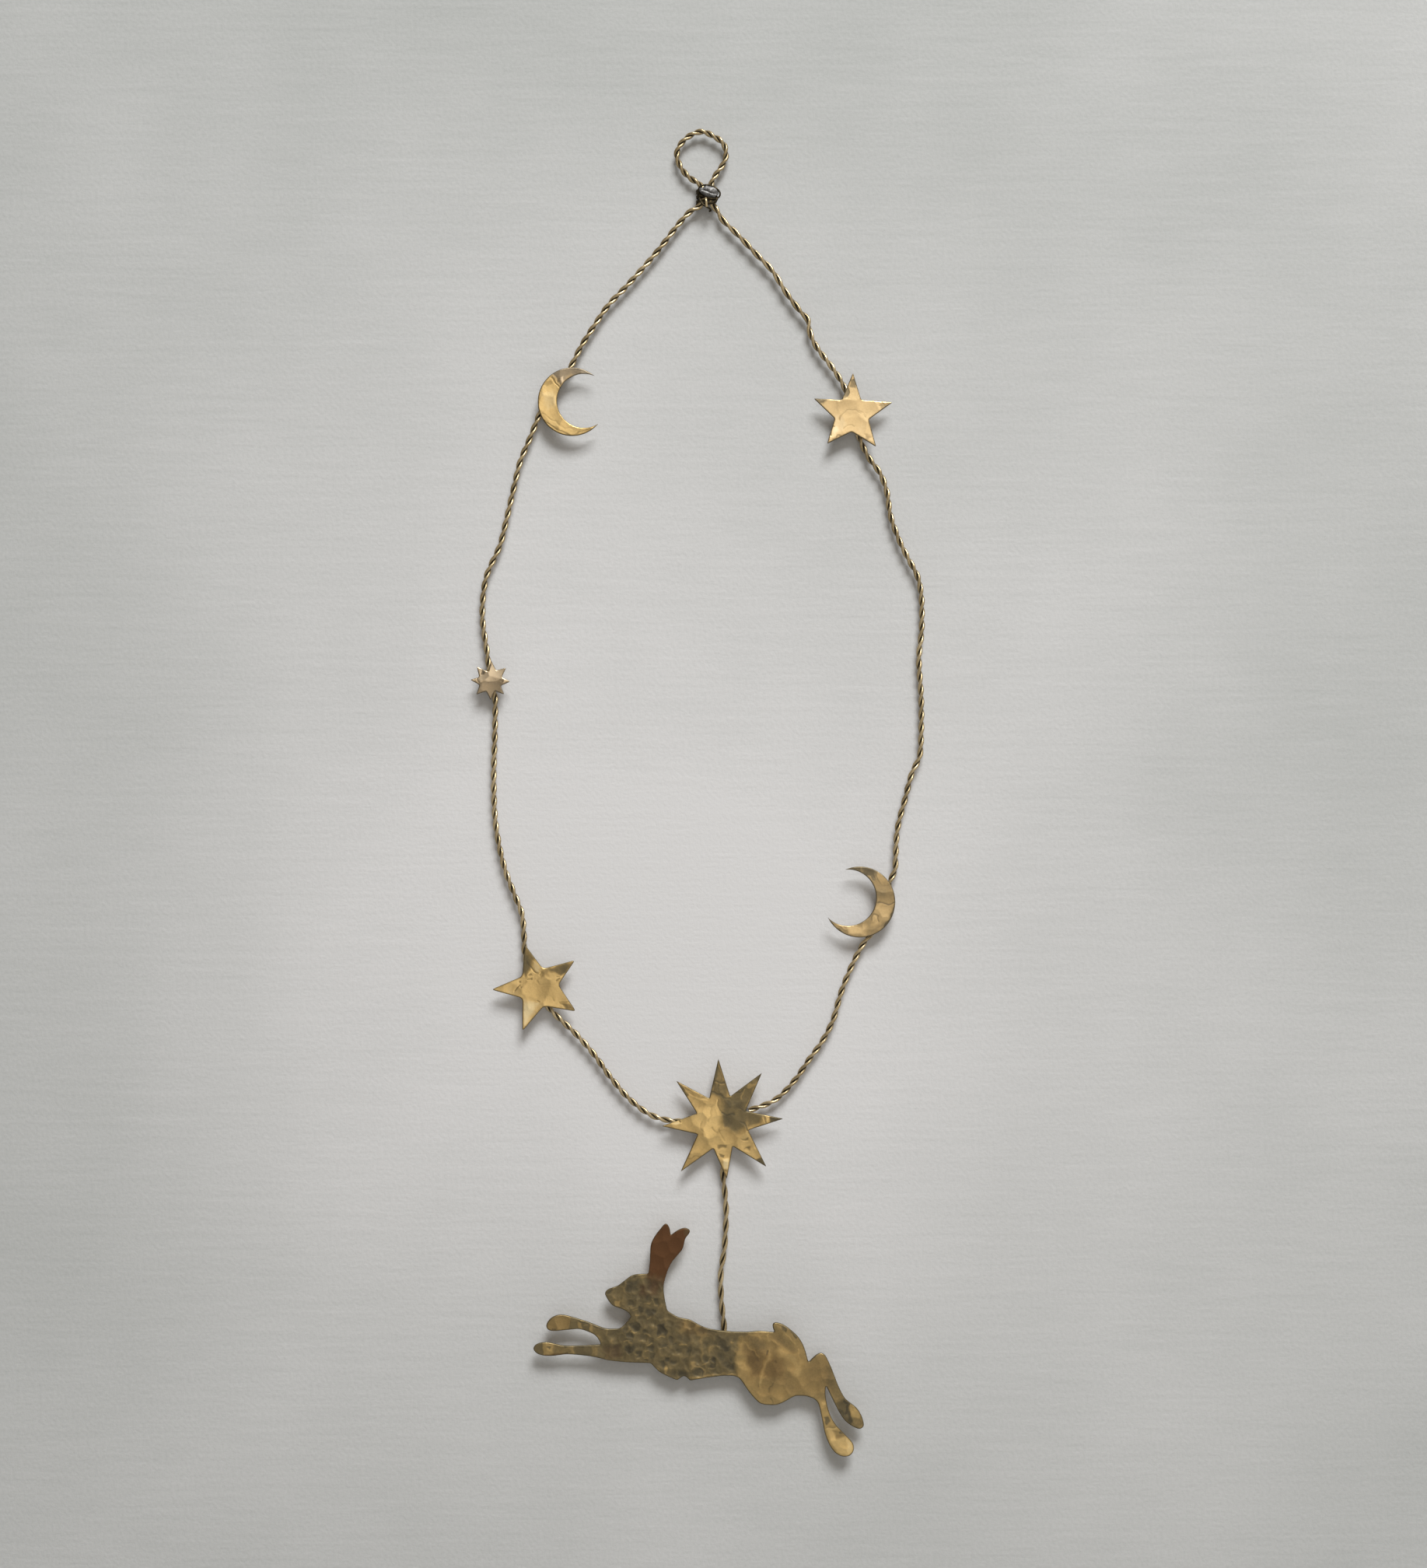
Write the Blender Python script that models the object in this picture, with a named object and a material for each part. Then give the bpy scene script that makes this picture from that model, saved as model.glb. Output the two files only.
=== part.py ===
"""Brass hanging ornament: stars, moons and a leaping hare on a loop of twisted wire.

The shapes are cut from hammered sheet brass and soldered to the front of a teardrop of
two-strand twisted wire, which is bound at the neck below a small hanging eye. The hare
hangs from the largest star by a short length of the same wire.

The ornament hangs upright in the XZ plane, with +Z up and its front facing -Y. The origin
is the inner top of the hanging eye, where the nail bears. Sizes are in metres.
"""

import math
import random

import bmesh
import bpy
from mathutils import Vector
from mathutils.geometry import delaunay_2d_cdt

# Wire and sheet
STRAND_DIAMETER = 0.0010
SHEET_THICKNESS = 0.0008
SOLDER_LINE = 0.0003
LOOP_HALF_TURN = 0.0041
SHOULDER_HALF_TURN = 0.0052
EYE_HALF_TURN = 0.0034
DROP_HALF_TURN = 0.0054

# Hanging eye, neck, loop and drop
EYE_WIDTH = 0.0158
EYE_HEIGHT = 0.0181
NECK_SHIFT = 0.0013
NECK_HEIGHT = 0.0040
NECK_GAP = 0.0009
LOOP_WIDTH = 0.1415
LOOP_HEIGHT = 0.2965
DROP_LENGTH = 0.0721
DROP_SHIFT = 0.0055
DROP_BEHIND_HARE = 0.0064

# Binding and solder at the neck
BINDING_WIRE = 0.0010
BINDING_PITCH = 0.00115
BINDING_TURNS = 4
BINDING_TAIL = 0.0024
SOLDER_WIDTH = 0.0067
SOLDER_HEIGHT = 0.0040
SOLDER_THICKNESS = 0.0010
SOLDER_SHIFT = 0.0013
SOLDER_TILT = 14.0

# Sheet ornaments
UPPER_STAR_RADIUS = 0.0130
LOWER_STAR_RADIUS = 0.0138
TINY_STAR_RADIUS = 0.0066
LARGE_STAR_RADIUS = 0.0193
UPPER_MOON_RADIUS = 0.0110
UPPER_MOON_WIDTH = 0.0062
LOWER_MOON_RADIUS = 0.0114
LOWER_MOON_WIDTH = 0.0064
HARE_LENGTH = 0.1065

# Hammer marks, with their wander off an even grid and their clearance from the cut edge
# as shares of the spacing
HAMMER_SPACING = 0.0038
HAMMER_DEPTH = 0.0002
HAMMER_WANDER = 0.25
HAMMER_CLEARANCE = 0.4

# Places of the ornaments, as shares of the loop's length from the left of the neck
UPPER_MOON_PLACE = 0.1146
TINY_STAR_PLACE = 0.2539
LOWER_STAR_PLACE = 0.3980
LARGE_STAR_PLACE = 0.5121
LOWER_MOON_PLACE = 0.6425
UPPER_STAR_PLACE = 0.8791

# How the crescents lie: the way that they open, the spread of their horns either side of
# it, and the side of the outer circle that is soldered to the wire
UPPER_MOON_OPENS, UPPER_MOON_HORNS, UPPER_MOON_SOLDERED = 4.3, 45.0, 157.0
LOWER_MOON_OPENS, LOWER_MOON_HORNS, LOWER_MOON_SOLDERED = 160.0, 46.0, 351.3

# Bends of the hanging eye from its right side over the top to its left, as percentages of
# its width and of its height below the top
EYE_BENDS = [
    (19.3, -90.3), (29.2, -74.8), (43.6, -56.3), (48.5, -39.0), (42.3, -20.7), (21.2, -7.4),
    (0.0, 0.0), (-21.1, -5.2), (-40.3, -18.3), (-50.7, -33.8), (-51.7, -44.8), (-45.5, -60.4),
    (-34.2, -74.8), (-20.4, -85.2), (-7.6, -91.7),
]  # fmt: skip

# Bends of the loop, hand-formed and uneven, as percentages of its width from the middle of
# the neck and of its height below it: down the left side, up the right side, and the
# slacker twist of the right shoulder
LEFT_BENDS = [
    (-1.5, -0.6), (-3.6, -1.2), (-5.8, -2.3), (-11.4, -5.7), (-18.1, -9.3), (-22.3, -11.4),
    (-25.6, -13.7), (-28.4, -15.8), (-31.3, -18.4), (-35.7, -20.9), (-38.1, -23.4), (-40.1, -25.8),
    (-42.3, -28.3), (-43.8, -31.2), (-45.5, -34.7), (-47.0, -37.5), (-49.1, -39.7), (-50.2, -41.1),
    (-51.0, -45.0), (-49.8, -49.5), (-49.2, -52.1), (-48.2, -53.6), (-48.1, -56.8), (-48.4, -63.2),
    (-47.9, -68.0), (-45.9, -72.6), (-43.7, -75.4), (-42.0, -77.5), (-41.5, -80.0), (-41.2, -82.3),
    (-38.8, -85.2), (-36.2, -87.5), (-29.6, -90.6), (-25.7, -92.7), (-21.9, -95.2), (-17.3, -97.7),
    (-12.4, -99.4), (-7.6, -100.0), (-1.4, -100.0),
]  # fmt: skip
RIGHT_BENDS = [
    (3.7, -99.8), (10.1, -98.8), (15.7, -97.7), (20.1, -95.6), (23.3, -93.4), (26.3, -91.4),
    (28.8, -89.1), (30.5, -86.3), (32.5, -83.8), (35.3, -81.1), (38.5, -78.9), (40.6, -76.6),
    (41.7, -74.1), (42.9, -72.8), (43.1, -71.2), (43.5, -68.3), (45.2, -65.1), (46.9, -62.1),
    (48.5, -60.5), (48.9, -57.9), (48.9, -53.9), (48.4, -49.7), (49.0, -46.7), (48.9, -42.8),
    (48.1, -40.9), (45.7, -38.7), (43.8, -36.8), (41.9, -34.2), (41.1, -31.7), (39.6, -29.7),
    (36.9, -27.9), (35.0, -26.0), (33.0, -23.1), (31.5, -20.4), (29.0, -18.4), (24.8, -15.7),
]  # fmt: skip
SHOULDER_BENDS = [
    (23.5, -14.2), (23.1, -13.0), (21.3, -12.0), (18.0, -9.9), (15.1, -7.7), (11.3, -5.8),
    (7.1, -3.7), (3.5, -2.0), (2.6, -1.2), (1.6, -0.6),
]  # fmt: skip

# Bends of the drop wire, as percentages of its length from its upper end
DROP_BENDS = [
    (0.0, 0.0), (-0.4, -19.9), (0.5, -28.9), (1.2, -39.0), (0.8, -49.5), (0.3, -56.4),
    (-1.0, -64.1), (-1.2, -72.1), (-0.8, -80.1), (0.2, -88.9), (0.5, -100.0),
]  # fmt: skip

# Hand-cut stars: the angle and the reach, as a percentage of the radius, of each tip and of
# the notch after it, clockwise from the top
FIVE_POINTS_UPPER = [
    (89, 100), (57, 41), (16, 102), (341, 43), (306, 99), (268, 44), (230, 95), (195, 45),
    (158, 101), (127, 43),
]  # fmt: skip
FIVE_POINTS_LOWER = [
    (105, 97), (69, 44), (34, 106), (4, 52), (328, 106), (291, 49), (253, 106), (221, 42),
    (184, 101), (144, 40),
]  # fmt: skip
EIGHT_POINTS_TINY = [
    (87, 99), (62, 61), (41, 99), (22, 60), (0, 94), (338, 55), (317, 90), (295, 50), (271, 88),
    (247, 51), (223, 91), (198, 55), (175, 95), (158, 58), (132, 95), (101, 48),
]  # fmt: skip
EIGHT_POINTS_LARGE = [
    (94, 101), (72, 41), (50, 101), (21, 41), (1, 100), (338, 46), (313, 106), (291, 47), (274, 98),
    (252, 50), (231, 110), (210, 48), (186, 101), (166, 44), (140, 100), (122, 42),
]  # fmt: skip

# The hare's outline in strokes that meet at its corners, as percentages of its length from
# the place on its back where the drop wire passes behind it
FRONT_EAR = [
    (-23.0, 17.0), (-22.5, 21.4), (-22.3, 25.6), (-21.3, 28.0), (-19.2, 30.8), (-17.7, 32.3),
    (-16.6, 30.8), (-16.3, 28.6),
]  # fmt: skip
REAR_EAR = [
    (-16.3, 28.6), (-14.1, 30.2), (-11.8, 30.9), (-10.3, 29.9), (-11.8, 27.8), (-12.7, 24.5),
    (-16.0, 20.4), (-18.4, 13.1), (-17.3, 5.9),
]  # fmt: skip
BACK = [
    (-17.3, 5.9), (-13.9, 3.9), (-10.5, 3.2), (-7.4, 1.5), (-3.9, 0.3), (6.6, -0.5), (10.4, -0.2),
    (15.1, -0.6),
]  # fmt: skip
TAIL = [
    (15.1, -0.6), (14.4, 1.8), (15.2, 2.4), (17.5, 1.8), (20.0, 0.1), (22.3, -2.1), (24.0, -5.1),
    (25.3, -9.7),
]  # fmt: skip
REAR_HIND_LEG = [
    (25.3, -9.7), (27.0, -7.9), (29.0, -6.8), (30.5, -7.7), (34.1, -16.2), (36.5, -20.7),
    (40.0, -23.6), (42.1, -28.6), (40.9, -29.7), (39.1, -29.2), (36.5, -27.4), (34.3, -24.2),
    (30.6, -16.7),
]  # fmt: skip
FRONT_HIND_LEG = [
    (30.6, -16.7), (30.4, -19.3), (31.9, -25.6), (33.9, -28.9), (38.6, -33.9), (39.0, -35.9),
    (38.1, -37.5), (36.2, -38.1), (33.9, -37.3), (32.0, -35.2), (30.2, -30.9), (28.4, -22.5),
    (27.2, -20.8), (24.2, -19.8), (21.2, -19.8),
]  # fmt: skip
BELLY = [
    (21.2, -19.8), (16.3, -22.3), (13.3, -22.5), (10.4, -21.8), (6.2, -16.9), (4.4, -14.4),
    (2.2, -13.7), (-3.1, -14.0), (-10.5, -15.2),
]  # fmt: skip
NICK = [(-10.5, -15.2), (-12.1, -13.7), (-14.2, -15.1)]
BREAST = [(-14.2, -15.1), (-19.4, -12.7), (-22.2, -9.9)]
LOWER_FORE_LEG = [
    (-22.2, -9.9), (-30.4, -9.6), (-35.2, -9.0), (-39.0, -8.1), (-47.6, -7.2), (-52.1, -7.7),
    (-56.2, -7.2), (-57.8, -5.5), (-56.6, -4.1), (-53.4, -3.6), (-48.7, -4.6), (-37.2, -4.3),
]  # fmt: skip
UPPER_FORE_LEG = [
    (-37.2, -4.3), (-38.7, -1.8), (-41.1, -0.4), (-44.2, 0.4), (-51.8, -0.2), (-53.6, 0.4),
    (-53.7, 2.0), (-52.1, 3.9), (-49.8, 4.7), (-47.3, 4.4), (-40.8, 2.4), (-35.6, 0.5),
    (-31.6, 0.6),
]  # fmt: skip
THROAT = [(-31.6, 0.6), (-28.3, 4.0), (-29.2, 5.5), (-33.8, 7.5)]
HEAD = [(-33.8, 7.5), (-36.2, 11.1), (-35.1, 12.4), (-32.1, 13.5), (-27.8, 16.6), (-23.0, 17.0)]
HARE_STROKES = [
    FRONT_EAR, REAR_EAR, BACK, TAIL, REAR_HIND_LEG, FRONT_HIND_LEG, BELLY, NICK, BREAST, LOWER_FORE_LEG,
    UPPER_FORE_LEG, THROAT, HEAD,
]  # fmt: skip

# Smoothness of the solids, and the angle in degrees above which an edge of the wire is sharp
WIRE_STEPS = 4
SECTIONS_PER_HALF_TURN = 3
HARE_STEPS = 2
MOON_STEPS = 24
BINDING_ARC_STEPS = 4
SHARP_ANGLE = 50.0

WIRE_RADIUS = STRAND_DIAMETER
NECK_TOP = WIRE_RADIUS - EYE_HEIGHT
NECK_BOTTOM = NECK_TOP - NECK_HEIGHT
NECK_SPACING = 2 * WIRE_RADIUS + NECK_GAP
SHEET_BACK = -(WIRE_RADIUS + SOLDER_LINE)
SHEET_FRONT = SHEET_BACK - SHEET_THICKNESS


def clear_scene():
    for obj in list(bpy.data.objects):
        bpy.data.objects.remove(obj, do_unlink=True)


def metal(name, colour, roughness):
    material = bpy.data.materials.new(name)
    material.use_nodes = True
    shader = material.node_tree.nodes["Principled BSDF"]
    shader.inputs["Base Color"].default_value = (*colour, 1.0)
    shader.inputs["Metallic"].default_value = 1.0
    shader.inputs["Roughness"].default_value = roughness
    return material


def add_object(name, data, material):
    data.materials.append(material)
    obj = bpy.data.objects.new(name, data)
    bpy.context.scene.collection.objects.link(obj)
    return obj


def mesh_from(bm, name):
    bmesh.ops.recalc_face_normals(bm, faces=bm.faces)
    mesh = bpy.data.meshes.new(name)
    bm.to_mesh(mesh)
    bm.free()
    return mesh


def smooth_curve(points, steps):
    """A centripetal Catmull-Rom curve through the points, with this many steps between two."""
    ends = [points[0] * 2 - points[1], *points, points[-1] * 2 - points[-2]]
    curve = []
    for a, b, c, d in zip(ends, ends[1:], ends[2:], ends[3:]):
        at_b = (b - a).length ** 0.5
        at_c = at_b + (c - b).length ** 0.5
        at_d = at_c + (d - c).length ** 0.5
        for step in range(steps):
            t = at_b + (at_c - at_b) * step / steps
            ab = a.lerp(b, t / at_b)
            bc = b.lerp(c, (t - at_b) / (at_c - at_b))
            cd = c.lerp(d, (t - at_c) / (at_d - at_c))
            abc = ab.lerp(bc, t / at_c)
            bcd = bc.lerp(cd, (t - at_b) / (at_d - at_b))
            curve.append(abc.lerp(bcd, (t - at_b) / (at_c - at_b)))
    curve.append(points[-1].copy())
    return curve


def bends(shares, x, z, width, height, half_turn):
    """Points of a wire as (x, z, length of a half turn of its twist)."""
    return [Vector((x + width * px / 100, z + height * pz / 100, half_turn)) for px, pz in shares]


def neck_point(side, height, half_turn):
    """A point in the neck: side -1 is the left wire and 1 the right one."""
    return Vector((NECK_SHIFT + side * NECK_SPACING / 2, height, half_turn))


def loop_points():
    """The loop's points from the left of the neck round to its right."""
    placed = (NECK_SHIFT, NECK_BOTTOM, LOOP_WIDTH, LOOP_HEIGHT)
    return [
        neck_point(-1, NECK_BOTTOM, LOOP_HALF_TURN),
        *bends(LEFT_BENDS, *placed, LOOP_HALF_TURN),
        *bends(RIGHT_BENDS, *placed, LOOP_HALF_TURN),
        *bends(SHOULDER_BENDS, *placed, SHOULDER_HALF_TURN),
        neck_point(1, NECK_BOTTOM, EYE_HALF_TURN),
    ]


def place_on_loop(share):
    """The (x, z) of the wire at this share of the loop's length."""
    curve = [point.xy for point in smooth_curve(loop_points(), WIRE_STEPS)]
    lengths = [(b - a).length for a, b in zip(curve, curve[1:])]
    left = share * sum(lengths)
    for point, after, length in zip(curve, curve[1:], lengths):
        if left <= length:
            return point.lerp(after, left / length)
        left -= length
    return curve[-1]


def twist_sections(curve):
    """The (point, direction, angle) of each section, evenly spaced in the wire's twist."""
    pieces = list(zip(curve, curve[1:]))
    turned = sum((b - a).xy.length / a.z for a, b in pieces)
    count = round(turned * SECTIONS_PER_HALF_TURN)
    spacing = turned / count
    sections = []
    phase = 0.0
    for a, b in pieces:
        step = (b - a).xy.length / a.z
        while len(sections) <= count and len(sections) * spacing <= phase + step + 1e-9:
            share = (len(sections) * spacing - phase) / step
            angle = math.pi * len(sections) * spacing
            sections.append((a.lerp(b, share).xy, (b - a).xy.normalized(), angle))
        phase += step
    return sections


def twisted_wire(name, points, material):
    """Two round strands twisted together, as a solid of their joint section."""
    radius = STRAND_DIAMETER / 2
    corners = [(2, 0), (1, 1), (-1, 1), (-2, 0), (-1, -1), (1, -1)]
    outward = Vector((0, -1, 0))
    bm = bmesh.new()
    rings = []
    for place, direction, angle in twist_sections(smooth_curve(points, WIRE_STEPS)):
        centre = Vector((place.x, 0, place.y))
        across = Vector((-direction.y, 0, direction.x))
        wide = across * math.cos(angle) + outward * math.sin(angle)
        narrow = outward * math.cos(angle) - across * math.sin(angle)
        ring = [bm.verts.new(centre + radius * (wide * u + narrow * v)) for u, v in corners]
        rings.append(ring)
    for ring, after in zip(rings, rings[1:]):
        for i in range(len(corners)):
            j = (i + 1) % len(corners)
            bm.faces.new((ring[i], ring[j], after[j], after[i]))
    bm.faces.new(list(reversed(rings[0])))
    bm.faces.new(rings[-1])
    mesh = mesh_from(bm, name)
    mesh.shade_smooth()
    mesh.set_sharp_from_angle(angle=math.radians(SHARP_ANGLE))
    return add_object(name, mesh, material)


def crosses(point, a, b):
    """Whether the ray from the point towards +X crosses the edge from a to b."""
    if (a.y > point.y) == (b.y > point.y):
        return False
    return point.x < a.x + (b.x - a.x) * (point.y - a.y) / (b.y - a.y)


def edge_distance(point, a, b):
    along = max(0.0, min(1.0, (point - a).dot(b - a) / (b - a).length_squared))
    return (point - a.lerp(b, along)).length


def hammer_marks(outline, seed):
    """Points inside the outline, on an uneven grid a hammer mark apart."""
    draw = random.Random(seed)
    edges = list(zip(outline, outline[1:] + outline[:1]))
    low = Vector((min(p.x for p in outline), min(p.y for p in outline)))
    high = Vector((max(p.x for p in outline), max(p.y for p in outline)))
    rows = math.ceil((high.y - low.y) / HAMMER_SPACING)
    columns = math.ceil((high.x - low.x) / HAMMER_SPACING)
    marks = []
    for row in range(rows):
        for column in range(columns):
            across = draw.uniform(-HAMMER_WANDER, HAMMER_WANDER)
            up = draw.uniform(-HAMMER_WANDER, HAMMER_WANDER)
            cell = Vector((column + 0.25 + 0.5 * (row % 2) + across, row + 0.5 + up))
            mark = low + cell * HAMMER_SPACING
            inside = sum(crosses(mark, a, b) for a, b in edges) % 2 == 1
            clearance = min(edge_distance(mark, a, b) for a, b in edges)
            if inside and clearance > HAMMER_CLEARANCE * HAMMER_SPACING:
                marks.append(mark)
    return marks


def hammered_sheet(name, outline, material, seed):
    """A sheet cut to the outline, flat behind and dented in front, just ahead of the wire."""
    count = len(outline)
    marks = hammer_marks(outline, seed)
    ring = [(i, (i + 1) % count) for i in range(count)]
    places, _, faces, sources, _, _ = delaunay_2d_cdt(outline + marks, ring, [], 1, 1e-7)
    draw = random.Random(seed)
    bm = bmesh.new()
    front = {}
    for place, source in zip(places, sources):
        dent = draw.uniform(0, HAMMER_DEPTH) if source[0] >= count else 0.0
        front[source[0]] = bm.verts.new((place.x, SHEET_FRONT + dent, place.y))
    back = [bm.verts.new((point.x, SHEET_BACK, point.y)) for point in outline]
    for face in faces:
        bm.faces.new([front[sources[i][0]] for i in face])
    for i, j in ring:
        bm.faces.new((front[j], front[i], back[i], back[j]))
    bm.faces.new(back)
    return add_object(name, mesh_from(bm, name), material)


def star_outline(centre, radius, points):
    outline = []
    for angle, reach in points:
        turn = math.radians(angle)
        outline.append(centre + Vector((math.cos(turn), math.sin(turn))) * radius * reach / 100)
    return outline


def moon_outline(place, radius, width, opens, horns, soldered):
    """A crescent between two arcs, with the middle of its soldered side at the place."""
    spread = math.radians(horns)
    back = radius - width
    hollow_shift = (radius**2 - back**2) / (2 * (back + radius * math.cos(spread)))
    hollow_radius = hollow_shift + back
    # Distance from the outer circle's centre to the hollow, on the soldered side
    tilt = math.radians(soldered - opens)
    across = hollow_shift * math.cos(tilt)
    inner = across + math.sqrt(across**2 - hollow_shift**2 + hollow_radius**2)
    turn = math.radians(soldered)
    centre = place - Vector((math.cos(turn), math.sin(turn))) * (radius + inner) / 2
    hollow = Vector((hollow_shift, 0))
    horn = Vector((math.cos(spread), math.sin(spread))) * radius - hollow
    hollow_spread = math.atan2(horn.y, horn.x)
    outline = []
    for i in range(MOON_STEPS + 1):
        angle = spread + (2 * math.pi - 2 * spread) * i / MOON_STEPS
        outline.append(Vector((math.cos(angle), math.sin(angle))) * radius)
    for i in range(1, MOON_STEPS):
        angle = -hollow_spread - (2 * math.pi - 2 * hollow_spread) * i / MOON_STEPS
        outline.append(hollow + Vector((math.cos(angle), math.sin(angle))) * hollow_radius)
    facing = math.radians(opens)
    turned = []
    for point in outline:
        x = point.x * math.cos(facing) - point.y * math.sin(facing)
        z = point.x * math.sin(facing) + point.y * math.cos(facing)
        turned.append(centre + Vector((x, z)))
    return turned


def hare_outline(place):
    outline = []
    for stroke in HARE_STROKES:
        points = [place + Vector(share) * HARE_LENGTH / 100 for share in stroke]
        outline.extend(smooth_curve(points, HARE_STEPS)[:-1])
    return outline


def neck_binding(material):
    """Turns of a single wire round the two wires of the neck, ending in a cut tail."""
    reach = WIRE_RADIUS + SOLDER_LINE + BINDING_WIRE / 2
    oval = []
    for side in (1, -1):
        for i in range(BINDING_ARC_STEPS + 1):
            angle = math.pi * (i / BINDING_ARC_STEPS - 0.5)
            x = side * (NECK_SPACING / 2 + reach * math.cos(angle))
            oval.append(Vector((x, side * reach * math.sin(angle))))
    around = sum((b - a).length for a, b in zip(oval, oval[1:] + oval[:1]))
    top = (NECK_TOP + NECK_BOTTOM + BINDING_TURNS * BINDING_PITCH) / 2
    points = []
    travelled = 0.0
    for i in range(BINDING_TURNS * len(oval) + 1):
        here = oval[i % len(oval)]
        points.append(Vector((NECK_SHIFT + here.x, here.y, top - BINDING_PITCH * travelled / around)))
        travelled += (oval[(i + 1) % len(oval)] - here).length
    start_of_tail = points[-1] + Vector((-NECK_SPACING / 2, 0, -BINDING_WIRE / 2))
    points[-1].x = start_of_tail.x + BINDING_WIRE
    points += [start_of_tail, start_of_tail + Vector((0, 0, -BINDING_TAIL))]
    data = bpy.data.curves.new("neck_binding", "CURVE")
    data.dimensions = "3D"
    data.bevel_depth = BINDING_WIRE / 2
    data.bevel_resolution = 1
    data.use_fill_caps = True
    spline = data.splines.new("POLY")
    spline.points.add(len(points) - 1)
    for knot, point in zip(spline.points, points):
        knot.co = (*point, 1)
    return add_object("neck_binding", data, material)


def neck_solder(material):
    """A flattened drop of solder on the front of the binding."""
    front = WIRE_RADIUS + SOLDER_LINE + BINDING_WIRE + SOLDER_LINE
    bm = bmesh.new()
    bmesh.ops.create_icosphere(bm, subdivisions=2, radius=0.5)
    mesh = mesh_from(bm, "neck_solder")
    mesh.shade_smooth()
    obj = add_object("neck_solder", mesh, material)
    obj.scale = (SOLDER_WIDTH, SOLDER_THICKNESS, SOLDER_HEIGHT)
    obj.rotation_euler = (0, math.radians(SOLDER_TILT), 0)
    middle = (NECK_TOP + NECK_BOTTOM) / 2
    obj.location = (NECK_SHIFT + SOLDER_SHIFT, -(front + SOLDER_THICKNESS / 2), middle)
    return obj


def main():
    clear_scene()
    wire_brass = metal("wire_brass", (0.42, 0.33, 0.18), 0.35)
    bright_brass = metal("bright_brass", (0.62, 0.46, 0.20), 0.35)
    dark_brass = metal("dark_brass", (0.36, 0.27, 0.13), 0.45)
    tarnish = metal("tarnish", (0.06, 0.05, 0.03), 0.6)
    solder = metal("solder", (0.42, 0.41, 0.39), 0.4)

    middle = (NECK_TOP + NECK_BOTTOM) / 2
    twisted_wire("twisted_wire_loop", [
        neck_point(-1, middle - SOLDER_LINE / 2, LOOP_HALF_TURN),
        *loop_points(),
        neck_point(1, middle, EYE_HALF_TURN),
        neck_point(1, NECK_TOP, EYE_HALF_TURN),
        *bends(EYE_BENDS, 0, WIRE_RADIUS, EYE_WIDTH, EYE_HEIGHT, EYE_HALF_TURN),
        neck_point(-1, NECK_TOP, EYE_HALF_TURN),
        neck_point(-1, middle + SOLDER_LINE / 2, EYE_HALF_TURN),
    ], wire_brass)  # fmt: skip
    neck_binding(tarnish)
    neck_solder(solder)

    moon = moon_outline(
        place_on_loop(UPPER_MOON_PLACE), UPPER_MOON_RADIUS, UPPER_MOON_WIDTH,
        UPPER_MOON_OPENS, UPPER_MOON_HORNS, UPPER_MOON_SOLDERED,
    )  # fmt: skip
    hammered_sheet("upper_moon", moon, bright_brass, 1)
    moon = moon_outline(
        place_on_loop(LOWER_MOON_PLACE), LOWER_MOON_RADIUS, LOWER_MOON_WIDTH,
        LOWER_MOON_OPENS, LOWER_MOON_HORNS, LOWER_MOON_SOLDERED,
    )  # fmt: skip
    hammered_sheet("lower_moon", moon, bright_brass, 2)

    stars = [
        ("upper_star", UPPER_STAR_PLACE, UPPER_STAR_RADIUS, FIVE_POINTS_UPPER),
        ("tiny_star", TINY_STAR_PLACE, TINY_STAR_RADIUS, EIGHT_POINTS_TINY),
        ("lower_star", LOWER_STAR_PLACE, LOWER_STAR_RADIUS, FIVE_POINTS_LOWER),
        ("large_star", LARGE_STAR_PLACE, LARGE_STAR_RADIUS, EIGHT_POINTS_LARGE),
    ]
    for seed, (name, place, radius, points) in enumerate(stars, start=3):
        hammered_sheet(name, star_outline(place_on_loop(place), radius, points), bright_brass, seed)

    loop_bottom = NECK_BOTTOM - LOOP_HEIGHT
    drop_top = Vector((NECK_SHIFT + DROP_SHIFT, loop_bottom - WIRE_RADIUS - SOLDER_LINE))
    drop = bends(DROP_BENDS, *drop_top, DROP_LENGTH, DROP_LENGTH, DROP_HALF_TURN)
    twisted_wire("drop_wire", drop, wire_brass)
    hare_back = drop[-1].xy + Vector((0, DROP_BEHIND_HARE))
    hammered_sheet("hare", hare_outline(hare_back), dark_brass, 7)


main()
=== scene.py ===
"""The looks of a brass hanging ornament: hammered stars, moons and a leaping hare on twisted wire.

The sheet shapes get their hammer marks, rounded edges, tarnish, and painted highlights and shade, and
the wires get their two round strands. The ornament hangs flat against a pale wall, lit softly from above.
"""

import math
import random

import bmesh
import bpy
import numpy as np
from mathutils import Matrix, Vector
from mathutils.geometry import delaunay_2d_cdt
from mathutils.kdtree import KDTree


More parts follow.
